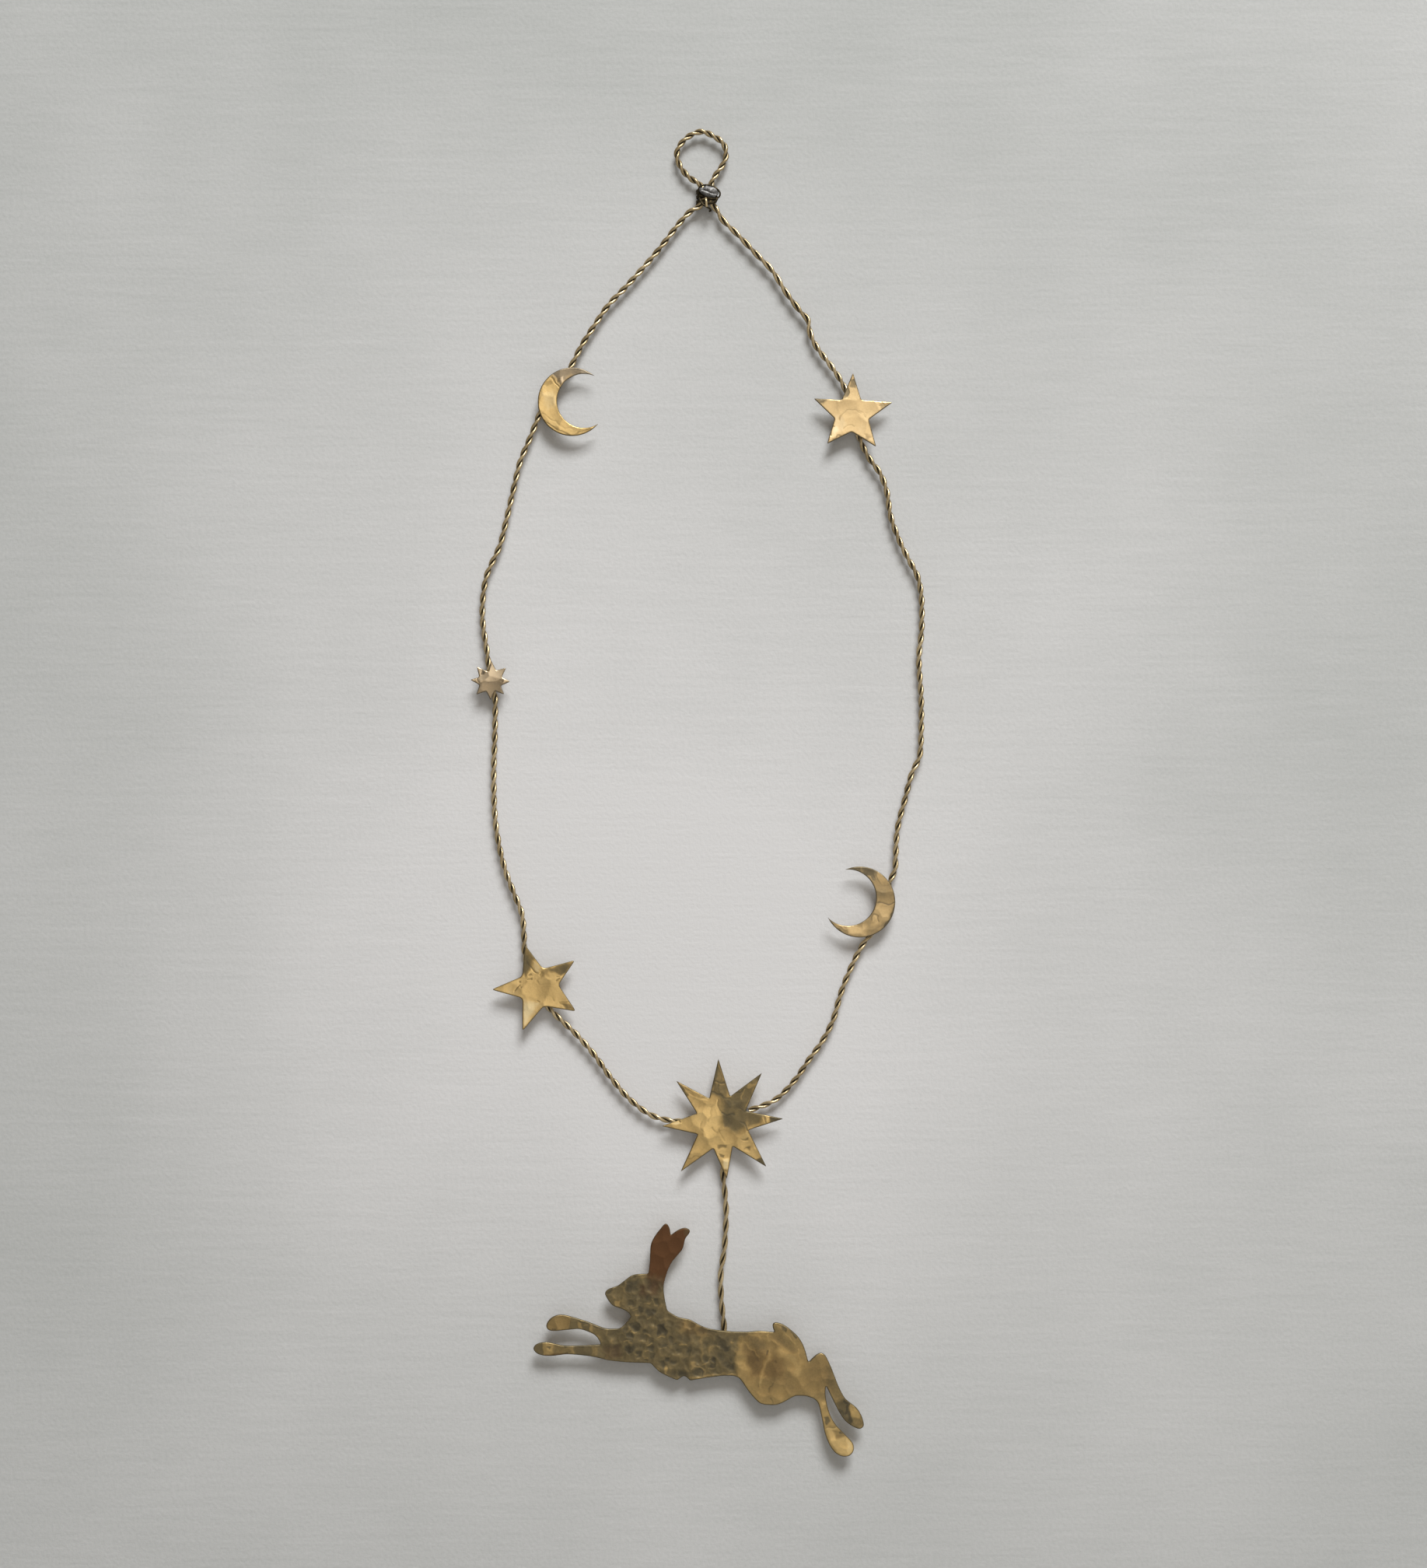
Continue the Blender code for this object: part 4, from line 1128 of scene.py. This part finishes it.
LARGE_STAR_MARKS = [
    # top arm
    patch(0.62, (921, 1356), (926, 1362), (936, 1404), (934, 1413), (914, 1407), soft=3),
    stroke(0.82, 3, (922, 1365), (920, 1380), (917, 1394)),
    patch(0.57, (922, 1379), (927, 1380), (929, 1388), (922, 1388)),
    # painted shade and, just below it, a painted highlight on the sides of a ridge
    stroke(0.82, 2.0, (919, 1389.5), (925, 1391), (931, 1391.5)),
    stroke(0.42, 1.6, (919, 1392.5), (925, 1394), (929, 1394)),
    stroke(0.80, 1.6, (924.5, 1394), (924, 1403)),
    stroke(0.84, 2, (915, 1403), (926, 1407), (934, 1411), (941, 1415), (950, 1414)),
    stroke(0.36, 1.8, (925, 1370), (931, 1388)),
    stroke(0.66, 1.6, (923, 1415), (926, 1426), (931, 1431)),
    stroke(0.14, 1.8, (921, 1415), (924, 1427)),
    # upper right arm
    patch(0.66, (936, 1412), (958, 1394), (980, 1377), (968, 1404), (958, 1424), (946, 1422), soft=3),
    patch(0.50, (957, 1396), (965, 1391), (971, 1396), (962, 1401), soft=1.5),
    patch(0.76, (970, 1387), (980, 1378), (976, 1392), soft=1.5),
    stroke(0.44, 1.8, (957, 1401), (954, 1410), (953, 1418)),
    stroke(0.84, 1.8, (945, 1405), (953, 1403), (960, 1396)),
    # tarnished upper right
    patch(0.68, (927, 1412), (942, 1416), (956, 1418), (963, 1434), (959, 1450), (946, 1456),
          (934, 1450), (929, 1436), soft=7),
    patch(0.63, (958, 1426), (982, 1432), (976, 1445), (962, 1449), soft=3),
    patch(0.76, (933, 1413), (941, 1417), (940, 1423), (933, 1421), soft=3),
    patch(0.76, (945, 1416), (954, 1415), (954, 1424), (946, 1425), soft=3),
    patch(0.75, (931, 1434), (940, 1433), (940, 1446), (932, 1446), soft=4),
    patch(0.58, (944, 1427), (951, 1426), (952, 1433), (945, 1434), soft=2.5),
    patch(0.58, (936, 1424), (943, 1424), (943, 1429), (937, 1430), soft=2.5),
    stroke(0.86, 1.8, (929, 1430), (936, 1434), (943, 1432)),
    stroke(0.86, 2, (953, 1441), (959, 1446), (961, 1453)),
    stroke(0.82, 1.8, (950, 1424), (957, 1428), (966, 1429), (978, 1431)),
    # right arm
    patch(0.24, (979, 1432), (992, 1435), (987, 1442), (981, 1440), soft=1.5),
    stroke(0.70, 1.8, (979, 1433), (986, 1442)),
    patch(0.82, (989, 1437), (1006, 1436), (1006, 1441), (992, 1444), soft=1.5),
    stroke(0.50, 3, (963, 1449), (975, 1449), (988, 1445)),
    # lower right arm
    # painted shade above the ridges and painted highlights below them
    patch(0.60, (954, 1465), (961, 1462), (961, 1465)),
    patch(0.60, (957, 1477), (965, 1474), (965, 1478)),
    stroke(0.20, 1.4, (954, 1467), (961, 1467)),
    stroke(0.20, 1.4, (957, 1479.5), (965, 1480)),
    patch(0.80, (973, 1490), (981, 1487), (988, 1501), (982, 1501), soft=1.5),
    # bottom arm
    # painted shade above the ridges and painted highlights below them
    patch(0.58, (923, 1472), (933, 1473), (932, 1476), (925, 1476)),
    patch(0.58, (924, 1483), (932, 1484), (931, 1488), (926, 1488)),
    stroke(0.22, 1.4, (924, 1478), (932, 1478)),
    patch(0.04, (930, 1490), (940, 1490), (939, 1503), (930, 1502), soft=2),
    stroke(0.66, 1.6, (930, 1505), (933, 1505)),
    stroke(0.66, 1.6, (938, 1504)),
    stroke(0.72, 2, (933, 1513), (937, 1512)),
    stroke(0.48, 1.5, (925, 1453), (928, 1460), (933, 1466)),
    # left arms
    stroke(0.56, 1.6, (884, 1489), (892, 1488), (900, 1486)),
    patch(0.42, (874, 1506), (884, 1490), (898, 1488), (888, 1499), soft=1.5),
    patch(0.06, (853, 1444), (876, 1438), (875, 1444), (857, 1447), soft=1.5),
    stroke(0.74, 2.2, (873.5, 1442)),
    stroke(0.74, 3.2, (870, 1392), (876, 1399), (883, 1409)),
    stroke(0.54, 2, (872, 1391), (884, 1400), (898, 1408)),
    # painted shade and, just below it, a painted highlight on the sides of a ridge
    stroke(0.54, 1.6, (886, 1405), (897, 1409), (911, 1412)),
    stroke(0.22, 1.6, (886, 1408), (897, 1412), (910, 1415)),
    patch(0.22, (895, 1425), (922, 1420), (925, 1450), (910, 1465), (896, 1450), soft=5),
    # lines between the dents of the pale side
    stroke(0.38, 1.8, (898, 1424), (906, 1420), (913, 1423), (919, 1419)),
    stroke(0.38, 1.8, (913, 1423), (915, 1433), (911, 1441)),
    stroke(0.38, 1.8, (902, 1442), (901, 1452), (907, 1458)),
    stroke(0.42, 1.8, (915, 1450), (922, 1456), (929, 1454)),
]

HARE_MARKS = [
    # the tarnished front half, the tan along the back and the gold at the loins
    patch(0.66, (765, 1625), (875, 1625), (872, 1680), (925, 1700), (960, 1700), (958, 1735),
          (944, 1775), (860, 1785), (765, 1760), (760, 1735), (772, 1722), soft=5),
    patch(0.54, (858, 1712), (876, 1696), (896, 1700), (918, 1714), (908, 1722), (888, 1714), soft=5),
    patch(0.47, (878, 1696), (890, 1698), (896, 1706), (884, 1705), soft=3),
    patch(0.46, (897, 1724), (903, 1721), (906, 1728), (900, 1731), soft=3),
    patch(0.50, (911, 1730), (919, 1730), (918, 1739), (912, 1737), soft=3),
    patch(0.48, (887, 1750), (894, 1750), (893, 1759), (888, 1758), soft=2.5),
    patch(0.46, (944, 1736), (958, 1738), (962, 1768), (946, 1766), soft=4),
    patch(0.60, (850, 1700), (862, 1692), (872, 1700), (862, 1716), soft=4),
    # round dents of the chest and the neck, dark with tarnish and painted shade
    patch(0.74, (811, 1664), (820, 1665), (820, 1672), (812, 1673), soft=2),
    patch(0.72, (829, 1664), (839, 1664), (840, 1673), (830, 1673), soft=2),
    patch(0.76, (841, 1669), (847, 1670), (847, 1679), (842, 1678), soft=1.5),
    patch(0.73, (807, 1670), (815, 1672), (817, 1678), (808, 1677), soft=1.5),
    patch(0.75, (820, 1679), (829, 1682), (828, 1687), (819, 1685), soft=1.5),
    patch(0.74, (830, 1683), (843, 1684), (842, 1692), (832, 1691), soft=2),
    patch(0.79, (809, 1700), (819, 1699), (824, 1705), (820, 1710), (811, 1708), soft=1.5),
    patch(0.75, (799, 1704), (808, 1701), (808, 1709), (801, 1711), soft=2),
    patch(0.77, (826, 1708), (834, 1706), (840, 1711), (833, 1715), (827, 1714), soft=1.5),
    patch(0.80, (844, 1704), (853, 1702), (857, 1709), (855, 1716), (846, 1716), soft=1.5),
    stroke(0.90, 2.5, (852, 1703), (857, 1710), (855, 1716)),
    patch(0.77, (805, 1712), (814, 1712), (814, 1719), (806, 1719), soft=1.5),
    patch(0.75, (823, 1715), (832, 1716), (831, 1722), (824, 1721), soft=1.5),
    patch(0.80, (833, 1719), (841, 1720), (842, 1726), (834, 1727), soft=1.5),
    patch(0.77, (804, 1721), (814, 1722), (813, 1727), (804, 1726), soft=1.5),
    patch(0.80, (803, 1730), (815, 1729), (817, 1737), (809, 1740), (803, 1737), soft=1.8),
    patch(0.74, (831, 1730), (840, 1730), (840, 1737), (832, 1737), soft=1.5),
    patch(0.77, (817, 1738), (825, 1737), (826, 1744), (818, 1744), soft=1.5),
    patch(0.75, (834, 1739), (842, 1739), (842, 1746), (835, 1746), soft=1.5),
    stroke(0.86, 1.8, (828, 1748), (835, 1749)),
    patch(0.73, (847, 1727), (858, 1728), (857, 1732), (848, 1731), soft=1.5),
    stroke(0.84, 1.6, (850, 1732), (858, 1732.5)),
    patch(0.75, (860, 1718), (866, 1718), (867, 1727), (861, 1726), soft=1.5),
    stroke(0.82, 1.5, (862, 1727), (869, 1728)),
    patch(0.76, (881, 1732), (890, 1731), (891, 1738), (883, 1739), soft=2),
    patch(0.70, (870, 1733), (877, 1733), (877, 1740), (870, 1740), soft=2),
    patch(0.77, (854, 1743), (860, 1743), (861, 1751), (855, 1751), soft=1.5),
    patch(0.77, (847, 1748), (854, 1749), (854, 1758), (849, 1757), soft=1.5),
    patch(0.75, (862, 1748), (869, 1748), (868, 1754), (862, 1754), soft=1.5),
    patch(0.80, (904, 1742), (911, 1742), (911, 1751), (905, 1751), soft=1.5),
    patch(0.83, (914, 1742), (920, 1743), (921, 1755), (915, 1750), soft=1.5),
    patch(0.72, (912, 1752), (920, 1752), (919, 1758), (912, 1757), soft=1.5),
    patch(0.74, (920, 1717), (937, 1717), (938, 1736), (926, 1735), (919, 1728), soft=3),
    patch(0.82, (928, 1730), (938, 1729), (937, 1737), (930, 1736), soft=2),
    patch(0.71, (923, 1740), (944, 1740), (943, 1753), (926, 1755), soft=3),
    patch(0.73, (933, 1754), (944, 1753), (942, 1761), (934, 1761), soft=2),
    patch(0.72, (891, 1760), (899, 1759), (901, 1765), (895, 1768), (890, 1765), soft=1.5),
    stroke(0.86, 2, (899, 1760), (903, 1764), (903, 1769)),
    stroke(0.44, 1.8, (889, 1760), (893, 1757), (899, 1757), (904, 1761)),
    patch(0.76, (873, 1763), (884, 1765), (885, 1771), (875, 1770), soft=2),
    patch(0.72, (910, 1708), (919, 1709), (918, 1718), (911, 1717), soft=2),
    patch(0.64, (900, 1707), (908, 1707), (907, 1713), (900, 1712), soft=2),
    patch(0.73, (822, 1650), (831, 1651), (831, 1666), (823, 1665), soft=3),
    patch(0.73, (834, 1646), (846, 1646), (845, 1664), (835, 1664), soft=4),
    patch(0.73, (805, 1648), (820, 1646), (820, 1658), (806, 1658), soft=3),
    # painted highlights: short bright dashes on the lower lips of the dents
    *(stroke(tone, 1.7, (x - half, y + tilt), (x + half, y - tilt), soft=0.7)
      for tone, half, x, y, tilt in (
        (0.46, 2, 814, 1680, 0.3), (0.38, 2, 817, 1684, 0), (0.40, 2.5, 819, 1690, 0.8),
        (0.38, 2.5, 834, 1694, 0.8), (0.42, 3, 832, 1675.5, 0.6), (0.48, 2, 824, 1674.5, 0),
        (0.42, 2.5, 842, 1677.5, 0.2), (0.42, 2.5, 803, 1682.5, -0.8), (0.50, 2, 811, 1679, 0.8),
        (0.36, 2.5, 815, 1712, 0.2), (0.48, 2, 798, 1714.5, 0), (0.46, 2, 831, 1715.5, 0.3),
        (0.46, 2, 824, 1722.5, 0.2), (0.42, 2.5, 806, 1724, -0.6), (0.44, 2, 810.5, 1726.5, 0),
        (0.38, 2.5, 835.5, 1728, 0.3), (0.38, 4, 850.5, 1719, 0.3), (0.40, 3.5, 853, 1733, 0),
        (0.34, 5, 878, 1728, 0.2), (0.46, 2, 832, 1737, 0), (0.48, 2, 818, 1741.5, 0),
        (0.48, 2, 830, 1745.5, 0.4), (0.44, 2.5, 858, 1743, 0.3), (0.48, 3, 881, 1744, 1.0),
        (0.46, 1.5, 916, 1752.5, 0), (0.44, 2.5, 915, 1758.5, 0.3), (0.44, 2.5, 942, 1725, 0),
        (0.46, 2.5, 923, 1730, 0), (0.46, 2.5, 906, 1753, 1.2), (0.46, 2, 876, 1727.5, 0),
        (0.46, 1.5, 788, 1735.5, 0), (0.50, 2, 800, 1744, 0), (0.48, 2.5, 887, 1762, -1),
      )),
    stroke(0.46, 1.5, (839, 1670), (840, 1676)),
    stroke(0.44, 1.8, (910, 1752), (912, 1746)),
    stroke(0.32, 2.6, (855, 1756), (857, 1761), (856, 1766)),
    stroke(0.40, 3, (840, 1755), (845, 1760), (853, 1767), (863, 1772), (870, 1773.5)),
    stroke(0.42, 3, (885, 1772), (892, 1771.5), (913, 1768), (930, 1766), (944, 1767)),
    # head
    patch(0.61, (778, 1657), (790, 1652), (800, 1653), (803, 1672), (790, 1676), (779, 1668), soft=2),
    patch(0.72, (780, 1660), (788, 1657), (786, 1662), (781, 1665)),
    patch(0.40, (790, 1672), (796, 1671), (797, 1680), (792, 1680)),
    stroke(0.50, 2, (797, 1650), (806, 1643), (815, 1638.5)),
    stroke(0.86, 1.8, (797, 1652), (804, 1647), (815, 1640), (820, 1639)),
    stroke(0.48, 1.5, (802, 1654), (803, 1660), (806, 1664), (811, 1667)),
    # ears
    patch(0.72, (830, 1565), (892, 1565), (892, 1590), (866, 1640), (858, 1662), (832, 1650), soft=4),
    # upper paw and foreleg
    patch(0.47, (700, 1688), (732, 1688), (733, 1712), (700, 1712), soft=1.5),
    stroke(0.78, 1.8, (711, 1708), (714, 1708)),
    patch(0.63, (733, 1692), (745, 1695), (743, 1711), (732, 1711)),
    stroke(0.48, 1.8, (745, 1698), (744, 1707)),
    patch(0.70, (748, 1698), (757, 1700), (758, 1713), (750, 1711)),
    stroke(0.46, 2, (752, 1704), (754, 1704)),
    stroke(0.48, 1.6, (759.5, 1702), (759, 1709)),
    patch(0.60, (761, 1702), (777, 1706), (775, 1720), (762, 1714)),
    stroke(0.48, 1.6, (779, 1708), (780, 1716)),
    stroke(0.88, 2.2, (745, 1698), (757, 1701), (768, 1705), (779, 1708.5)),
    # lower paw and foreleg
    patch(0.68, (685, 1724), (697, 1724), (698, 1742), (685, 1742)),
    patch(0.43, (698, 1724), (711, 1724), (712, 1743), (698, 1743)),
    patch(0.72, (702, 1732), (709, 1731), (708, 1734.5)),
    patch(0.57, (712, 1725), (735, 1728), (736, 1742), (712, 1744), soft=2),
    stroke(0.86, 2.4, (704, 1742), (721, 1742), (730, 1740.5)),
    patch(0.72, (737, 1729), (760, 1729), (760, 1743), (738, 1742), soft=1.5),
    stroke(0.92, 2.6, (740, 1742), (752, 1743), (760, 1744)),
    patch(0.55, (761, 1733), (769, 1733), (769, 1743), (762, 1743), soft=1.5),
    stroke(0.86, 2, (727, 1730), (745, 1730.5), (772, 1729)),
    patch(0.73, (775, 1730), (797, 1728), (800, 1744), (778, 1747), soft=3),
    # loins and rump
    patch(0.55, (957, 1728), (974, 1738), (982, 1748), (977, 1768), (966, 1768), (958, 1750), soft=8),
    patch(0.53, (984, 1750), (996, 1742), (1008, 1750), (1006, 1772), (994, 1778), (982, 1768), soft=8),
    patch(0.57, (958, 1712), (984, 1714), (984, 1736), (974, 1738), (962, 1724), soft=5),
    stroke(0.55, 6, (1012, 1756), (1014, 1768), (1010, 1780), soft=5),
    stroke(0.34, 7, (952, 1722), (954, 1738), (957, 1756), (966, 1772), soft=4),
    stroke(0.28, 9, (1004, 1738), (1018, 1744), (1026, 1752), (1024, 1764), soft=5),
    stroke(0.22, 3.5, (991, 1742), (985, 1752), (980, 1762), (977, 1776), soft=2),
    stroke(0.36, 4, (972, 1716), (978, 1720), (988, 1722), soft=3),
    stroke(0.36, 2, (957, 1725.5), (962, 1731.5), (971, 1737.5), (975.5, 1744.5)),
    stroke(0.64, 2.5, (966, 1738), (972, 1742), (974, 1750)),
    stroke(0.38, 2.5, (987.8, 1734.5), (989, 1743), (984.5, 1748), (981, 1755.5)),
    stroke(0.38, 2, (962, 1714.5), (971, 1716.7), (977, 1719.5)),
    stroke(0.36, 2, (988, 1712), (988, 1724)),
    stroke(0.80, 2.2, (986, 1736), (986.5, 1741.5)),
    stroke(0.66, 2.5, (996, 1749), (997.5, 1751)),
    stroke(0.58, 8, (997, 1719), (1006, 1721), (1013, 1728), (1020, 1736), soft=3),
    stroke(0.40, 3, (989, 1723.5), (996, 1725), (1002, 1729), (1007, 1735), (1013, 1739), (1020, 1743)),
    patch(0.50, (993, 1701), (1003, 1701), (1003, 1712), (996, 1712), soft=2),
    patch(0.72, (1004, 1703), (1012, 1706), (1011, 1712), (1005, 1710), soft=1.5),
    stroke(0.36, 2, (1012, 1715.5), (1015.5, 1722), (1022, 1728)),
    patch(0.48, (1013, 1712), (1022, 1718), (1026, 1728), (1018, 1724), soft=1.5),
    stroke(0.76, 2.4, (1018, 1712), (1025, 1720)),
    stroke(0.36, 1.8, (1025.5, 1733), (1026.5, 1741), (1029, 1745)),
    stroke(0.36, 2.5, (984, 1768), (978.5, 1775), (976, 1779), (977, 1785)),
    stroke(0.60, 1.6, (974.5, 1778), (975, 1783)),
    stroke(0.60, 1.6, (993.5, 1778), (990, 1784.5), (987.5, 1789)),
    stroke(0.46, 1.5, (996, 1778), (992.5, 1785)),
    stroke(0.68, 1.6, (992, 1798), (992.5, 1803)),
    # hind legs
    patch(0.51, (1040, 1742), (1062, 1738), (1074, 1775), (1058, 1784), (1038, 1770), soft=8),
    patch(0.57, (1062, 1757), (1072, 1757), (1090, 1800), (1078, 1806), (1064, 1782), soft=3),
    patch(0.74, (1074, 1803), (1090, 1799), (1096, 1828), (1088, 1828), (1078, 1816), soft=2.5),
    stroke(0.92, 3, (1086, 1801), (1091, 1804), (1090, 1810), (1087, 1816)),
    stroke(0.86, 3.5, (1078, 1813), (1083, 1817)),
    stroke(0.88, 4, (1091, 1815), (1094, 1823), (1092, 1829)),
    patch(0.38, (1092, 1807), (1098, 1808), (1105, 1815), (1105, 1822), (1099, 1823), (1095, 1818)),
    patch(0.57, (1096, 1824), (1106, 1823), (1111, 1832), (1104, 1837), (1094, 1832), soft=1.5),
    patch(0.42, (1052, 1800), (1062, 1796), (1066, 1820), (1080, 1834), (1060, 1840), (1054, 1820), soft=2),
    patch(0.30, (1055, 1801), (1063, 1800), (1063, 1806), (1057, 1806)),
    patch(0.74, (1059, 1822), (1064, 1821), (1068, 1827), (1064, 1830), (1060, 1828), soft=1.5),
    stroke(0.28, 2.6, (1065, 1815), (1070, 1824), (1076, 1832)),
    patch(0.27, (1060, 1834), (1080, 1834), (1098, 1856), (1092, 1871), (1076, 1868), soft=2),
    patch(0.54, (1071, 1838), (1084, 1837), (1087, 1846), (1076, 1850), soft=2.5),
    stroke(0.56, 1.8, (1060, 1834.5), (1077, 1833.5)),
    stroke(0.80, 3, (1080, 1840), (1083, 1841)),
    patch(0.16, (1088, 1846), (1098, 1856), (1097, 1866), (1090, 1868), soft=1.5),
]

# Copper colour left by heat, from 0 to 1
HARE_COPPER = [
    patch(1.00, (825, 1560), (895, 1560), (895, 1590), (866, 1632), (855, 1650), (832, 1642), soft=6),
    patch(0.45, (880, 1577), (890, 1577), (890, 1588), (881, 1588), soft=3),
    patch(0.45, (822, 1650), (831, 1651), (831, 1666), (823, 1665), soft=4),
    patch(0.50, (834, 1640), (852, 1640), (846, 1664), (835, 1664), soft=5),
    patch(0.28, (775, 1730), (797, 1728), (800, 1744), (778, 1747), soft=4),
    patch(0.40, (700, 1740), (730, 1739), (730, 1744), (700, 1745)),
    patch(0.18, (700, 1688), (732, 1688), (733, 1712), (700, 1712), soft=2),
    patch(0.22, (872, 1698), (905, 1700), (915, 1716), (880, 1716), soft=6),
    patch(0.16, (955, 1712), (1000, 1712), (1040, 1750), (1066, 1742), (1072, 1790), (1040, 1790),
          (980, 1800), (955, 1770), soft=8),
    patch(0.40, (958, 1732), (1008, 1744), (1008, 1772), (966, 1770), soft=7),
]

# The front half, hammered all over with the small round end of the hammer
HARE_PEENED = [
    patch(1.00, (785, 1640), (840, 1632), (862, 1650), (862, 1690), (925, 1712), (948, 1712),
          (946, 1770), (880, 1790), (830, 1760), (772, 1750), (772, 1722), (800, 1700),
          (800, 1690), (775, 1668), soft=5),
]

# Hammer blows that stand out, as the place of each and the radius of the dent
HARE_DENTS = [
    (815, 1668, 5), (823, 1669, 4), (834, 1669, 5), (844, 1674, 5), (811, 1675, 4), (824, 1683, 5),
    (837, 1687, 6), (817, 1705, 7), (803, 1706, 5), (833, 1711, 6), (850, 1709, 7), (810, 1716, 5),
    (828, 1719, 5), (837, 1723, 5), (809, 1724, 5), (810, 1735, 7), (836, 1733, 5), (821, 1741, 5),
    (838, 1743, 4), (852, 1730, 6), (864, 1723, 5), (886, 1736, 5), (873, 1737, 5), (857, 1747, 5),
    (851, 1754, 5), (866, 1751, 4), (908, 1747, 5), (917, 1748, 5), (916, 1755, 4), (930, 1727, 9),
    (934, 1747, 9), (939, 1758, 5), (896, 1764, 6), (879, 1767, 6), (915, 1713, 5), (903, 1710, 5),
    (827, 1658, 6), (840, 1655, 8), (812, 1653, 8), (790, 1662, 7), (825, 1697, 6), (840, 1700, 5),
    (862, 1703, 7), (880, 1720, 8), (895, 1736, 6), (870, 1710, 6), (793, 1718, 8), (790, 1736, 7),
    (826, 1730, 5), (800, 1745, 6), (865, 1738, 5), (897, 1748, 6), (885, 1755, 6), (868, 1762, 6),
    (905, 1762, 6), (922, 1762, 6), (948, 1722, 6), (950, 1748, 7), (889, 1706, 6), (907, 1725, 6),
]


# Each sheet's base tone and marks, and the spacing of its mesh and of its hammer blows in metres;
# the ball is the radius of the hammer's face, and a larger one leaves flatter dents
SHEETS = {
    "upper_moon": dict(
        seed=1, base_tone=0.23, marks=UPPER_MOON_MARKS, ash_marks=UPPER_MOON_ASH,
        spacing=0.0002, blow_spacing=0.0062, ball=0.050,
    ),
    "upper_star": dict(
        seed=2, base_tone=0.24, marks=UPPER_STAR_MARKS, ash_marks=UPPER_STAR_ASH,
        spacing=0.0002, blow_spacing=0.0070, ball=0.050, blunting=2,
    ),
    "tiny_star": dict(
        seed=3, base_tone=0.12, marks=TINY_STAR_MARKS, ash_marks=TINY_STAR_ASH,
        spacing=0.0002, blow_spacing=0.0055, ball=0.040,
    ),
    "lower_star": dict(
        seed=4, base_tone=0.21, marks=LOWER_STAR_MARKS,
        spacing=0.0002, blow_spacing=0.0056, ball=0.060, blunting=26,
    ),
    "lower_moon": dict(
        seed=5, base_tone=0.45, marks=LOWER_MOON_MARKS, ash_marks=LOWER_MOON_ASH,
        spacing=0.0002, blow_spacing=0.0050, ball=0.024,
    ),
    "large_star": dict(
        seed=6, base_tone=0.35, marks=LARGE_STAR_MARKS,
        spacing=0.0002, blow_spacing=0.0044, ball=0.028,
    ),
    "hare": dict(
        seed=7, base_tone=0.47, marks=HARE_MARKS, copper_marks=HARE_COPPER,
        peened_marks=HARE_PEENED, dents=HARE_DENTS,
        spacing=0.00025, blow_spacing=0.0052, ball=0.024, slot="dark_brass",
    ),
}


# Wall, light and camera


def stage():
    """The wall behind the ornament and a floor far below it."""
    finish = plaster()
    wide, back, top, foot = WALL_HALF_WIDTH, WALL_DISTANCE, WALL_TOP, FLOOR_LEVEL
    corners = [(-wide, back, top), (wide, back, top), (wide, back, foot), (-wide, back, foot)]
    wall = linked("wall", new_mesh("wall", corners, [(0, 3, 2, 1)]))
    wall.data.materials.append(finish)
    wall.visible_shadow = False
    wide = FLOOR_HALF_WIDTH
    corners = [(-wide, -wide, foot), (wide, -wide, foot), (wide, wide, foot), (-wide, wide, foot)]
    floor = linked("floor", new_mesh("floor", corners, [(0, 1, 2, 3)]))
    floor.data.materials.append(finish)


def panel(name, place, aim, size, energy, colour=(1, 1, 1), shadow=True):
    """A soft rectangular light."""
    data = bpy.data.lights.new(name, "AREA")
    data.shape = "RECTANGLE"
    data.size, data.size_y = size
    data.energy = energy
    data.color = colour
    data.use_shadow = shadow
    light = linked(name, data)
    light.location = place
    light.rotation_mode = "QUATERNION"
    light.rotation_quaternion = (Vector(aim) - Vector(place)).to_track_quat("-Z", "Y")


def room_light():
    """A cool light from high above, a warm one from in front and a gleam from each side."""
    middle = (0.0, 0.0, CAMERA_Z)
    panel("key", place=(0.45, -1.55, CAMERA_Z + 2.1), aim=(0.0, 0.0, CAMERA_Z - 0.1),
          size=(1.2, 0.9), energy=95.0, colour=(0.96, 0.985, 1.0))
    panel("front", place=(0.2, -1.4, CAMERA_Z + 0.27), aim=(0.12, 0, CAMERA_Z + 0.15),
          size=(0.85, 1.5), energy=4.4, colour=(1.0, 0.93, 0.82))
    panel("right", place=(1.5, -0.90, CAMERA_Z + 0.2), aim=middle,
          size=(0.10, 1.6), energy=3.3, shadow=False)
    panel("left", place=(-1.5, -0.70, CAMERA_Z + 0.2), aim=middle,
          size=(0.08, 1.6), energy=1.4, shadow=False)
    world = bpy.data.worlds.new("soft_room")
    world.use_nodes = True
    world.node_tree.nodes["Background"].inputs["Color"].default_value = ROOM_COLOUR
    bpy.context.scene.world = world
    bpy.context.scene.view_settings.view_transform = "Standard"


def straight_on_camera():
    data = bpy.data.cameras.new("camera")
    data.sensor_fit = "VERTICAL"
    data.sensor_height = SENSOR_HEIGHT
    data.lens = SENSOR_HEIGHT * (CAMERA_DISTANCE - SHEET_FRONT) / VIEW_HEIGHT
    camera = linked("camera", data)
    camera.location = (CAMERA_X, -CAMERA_DISTANCE, CAMERA_Z)
    camera.rotation_euler = (math.pi / 2, 0, 0)
    bpy.context.scene.camera = camera


BRASS = sheet_brass()
WIRE = wire_brass()
SOLDER = soft_solder()
solder_joints(wires())
neck_binding()
neck_solder()
for sheet, facts in SHEETS.items():
    hammered_sheet(sheet, **facts)
stage()
room_light()
straight_on_camera()
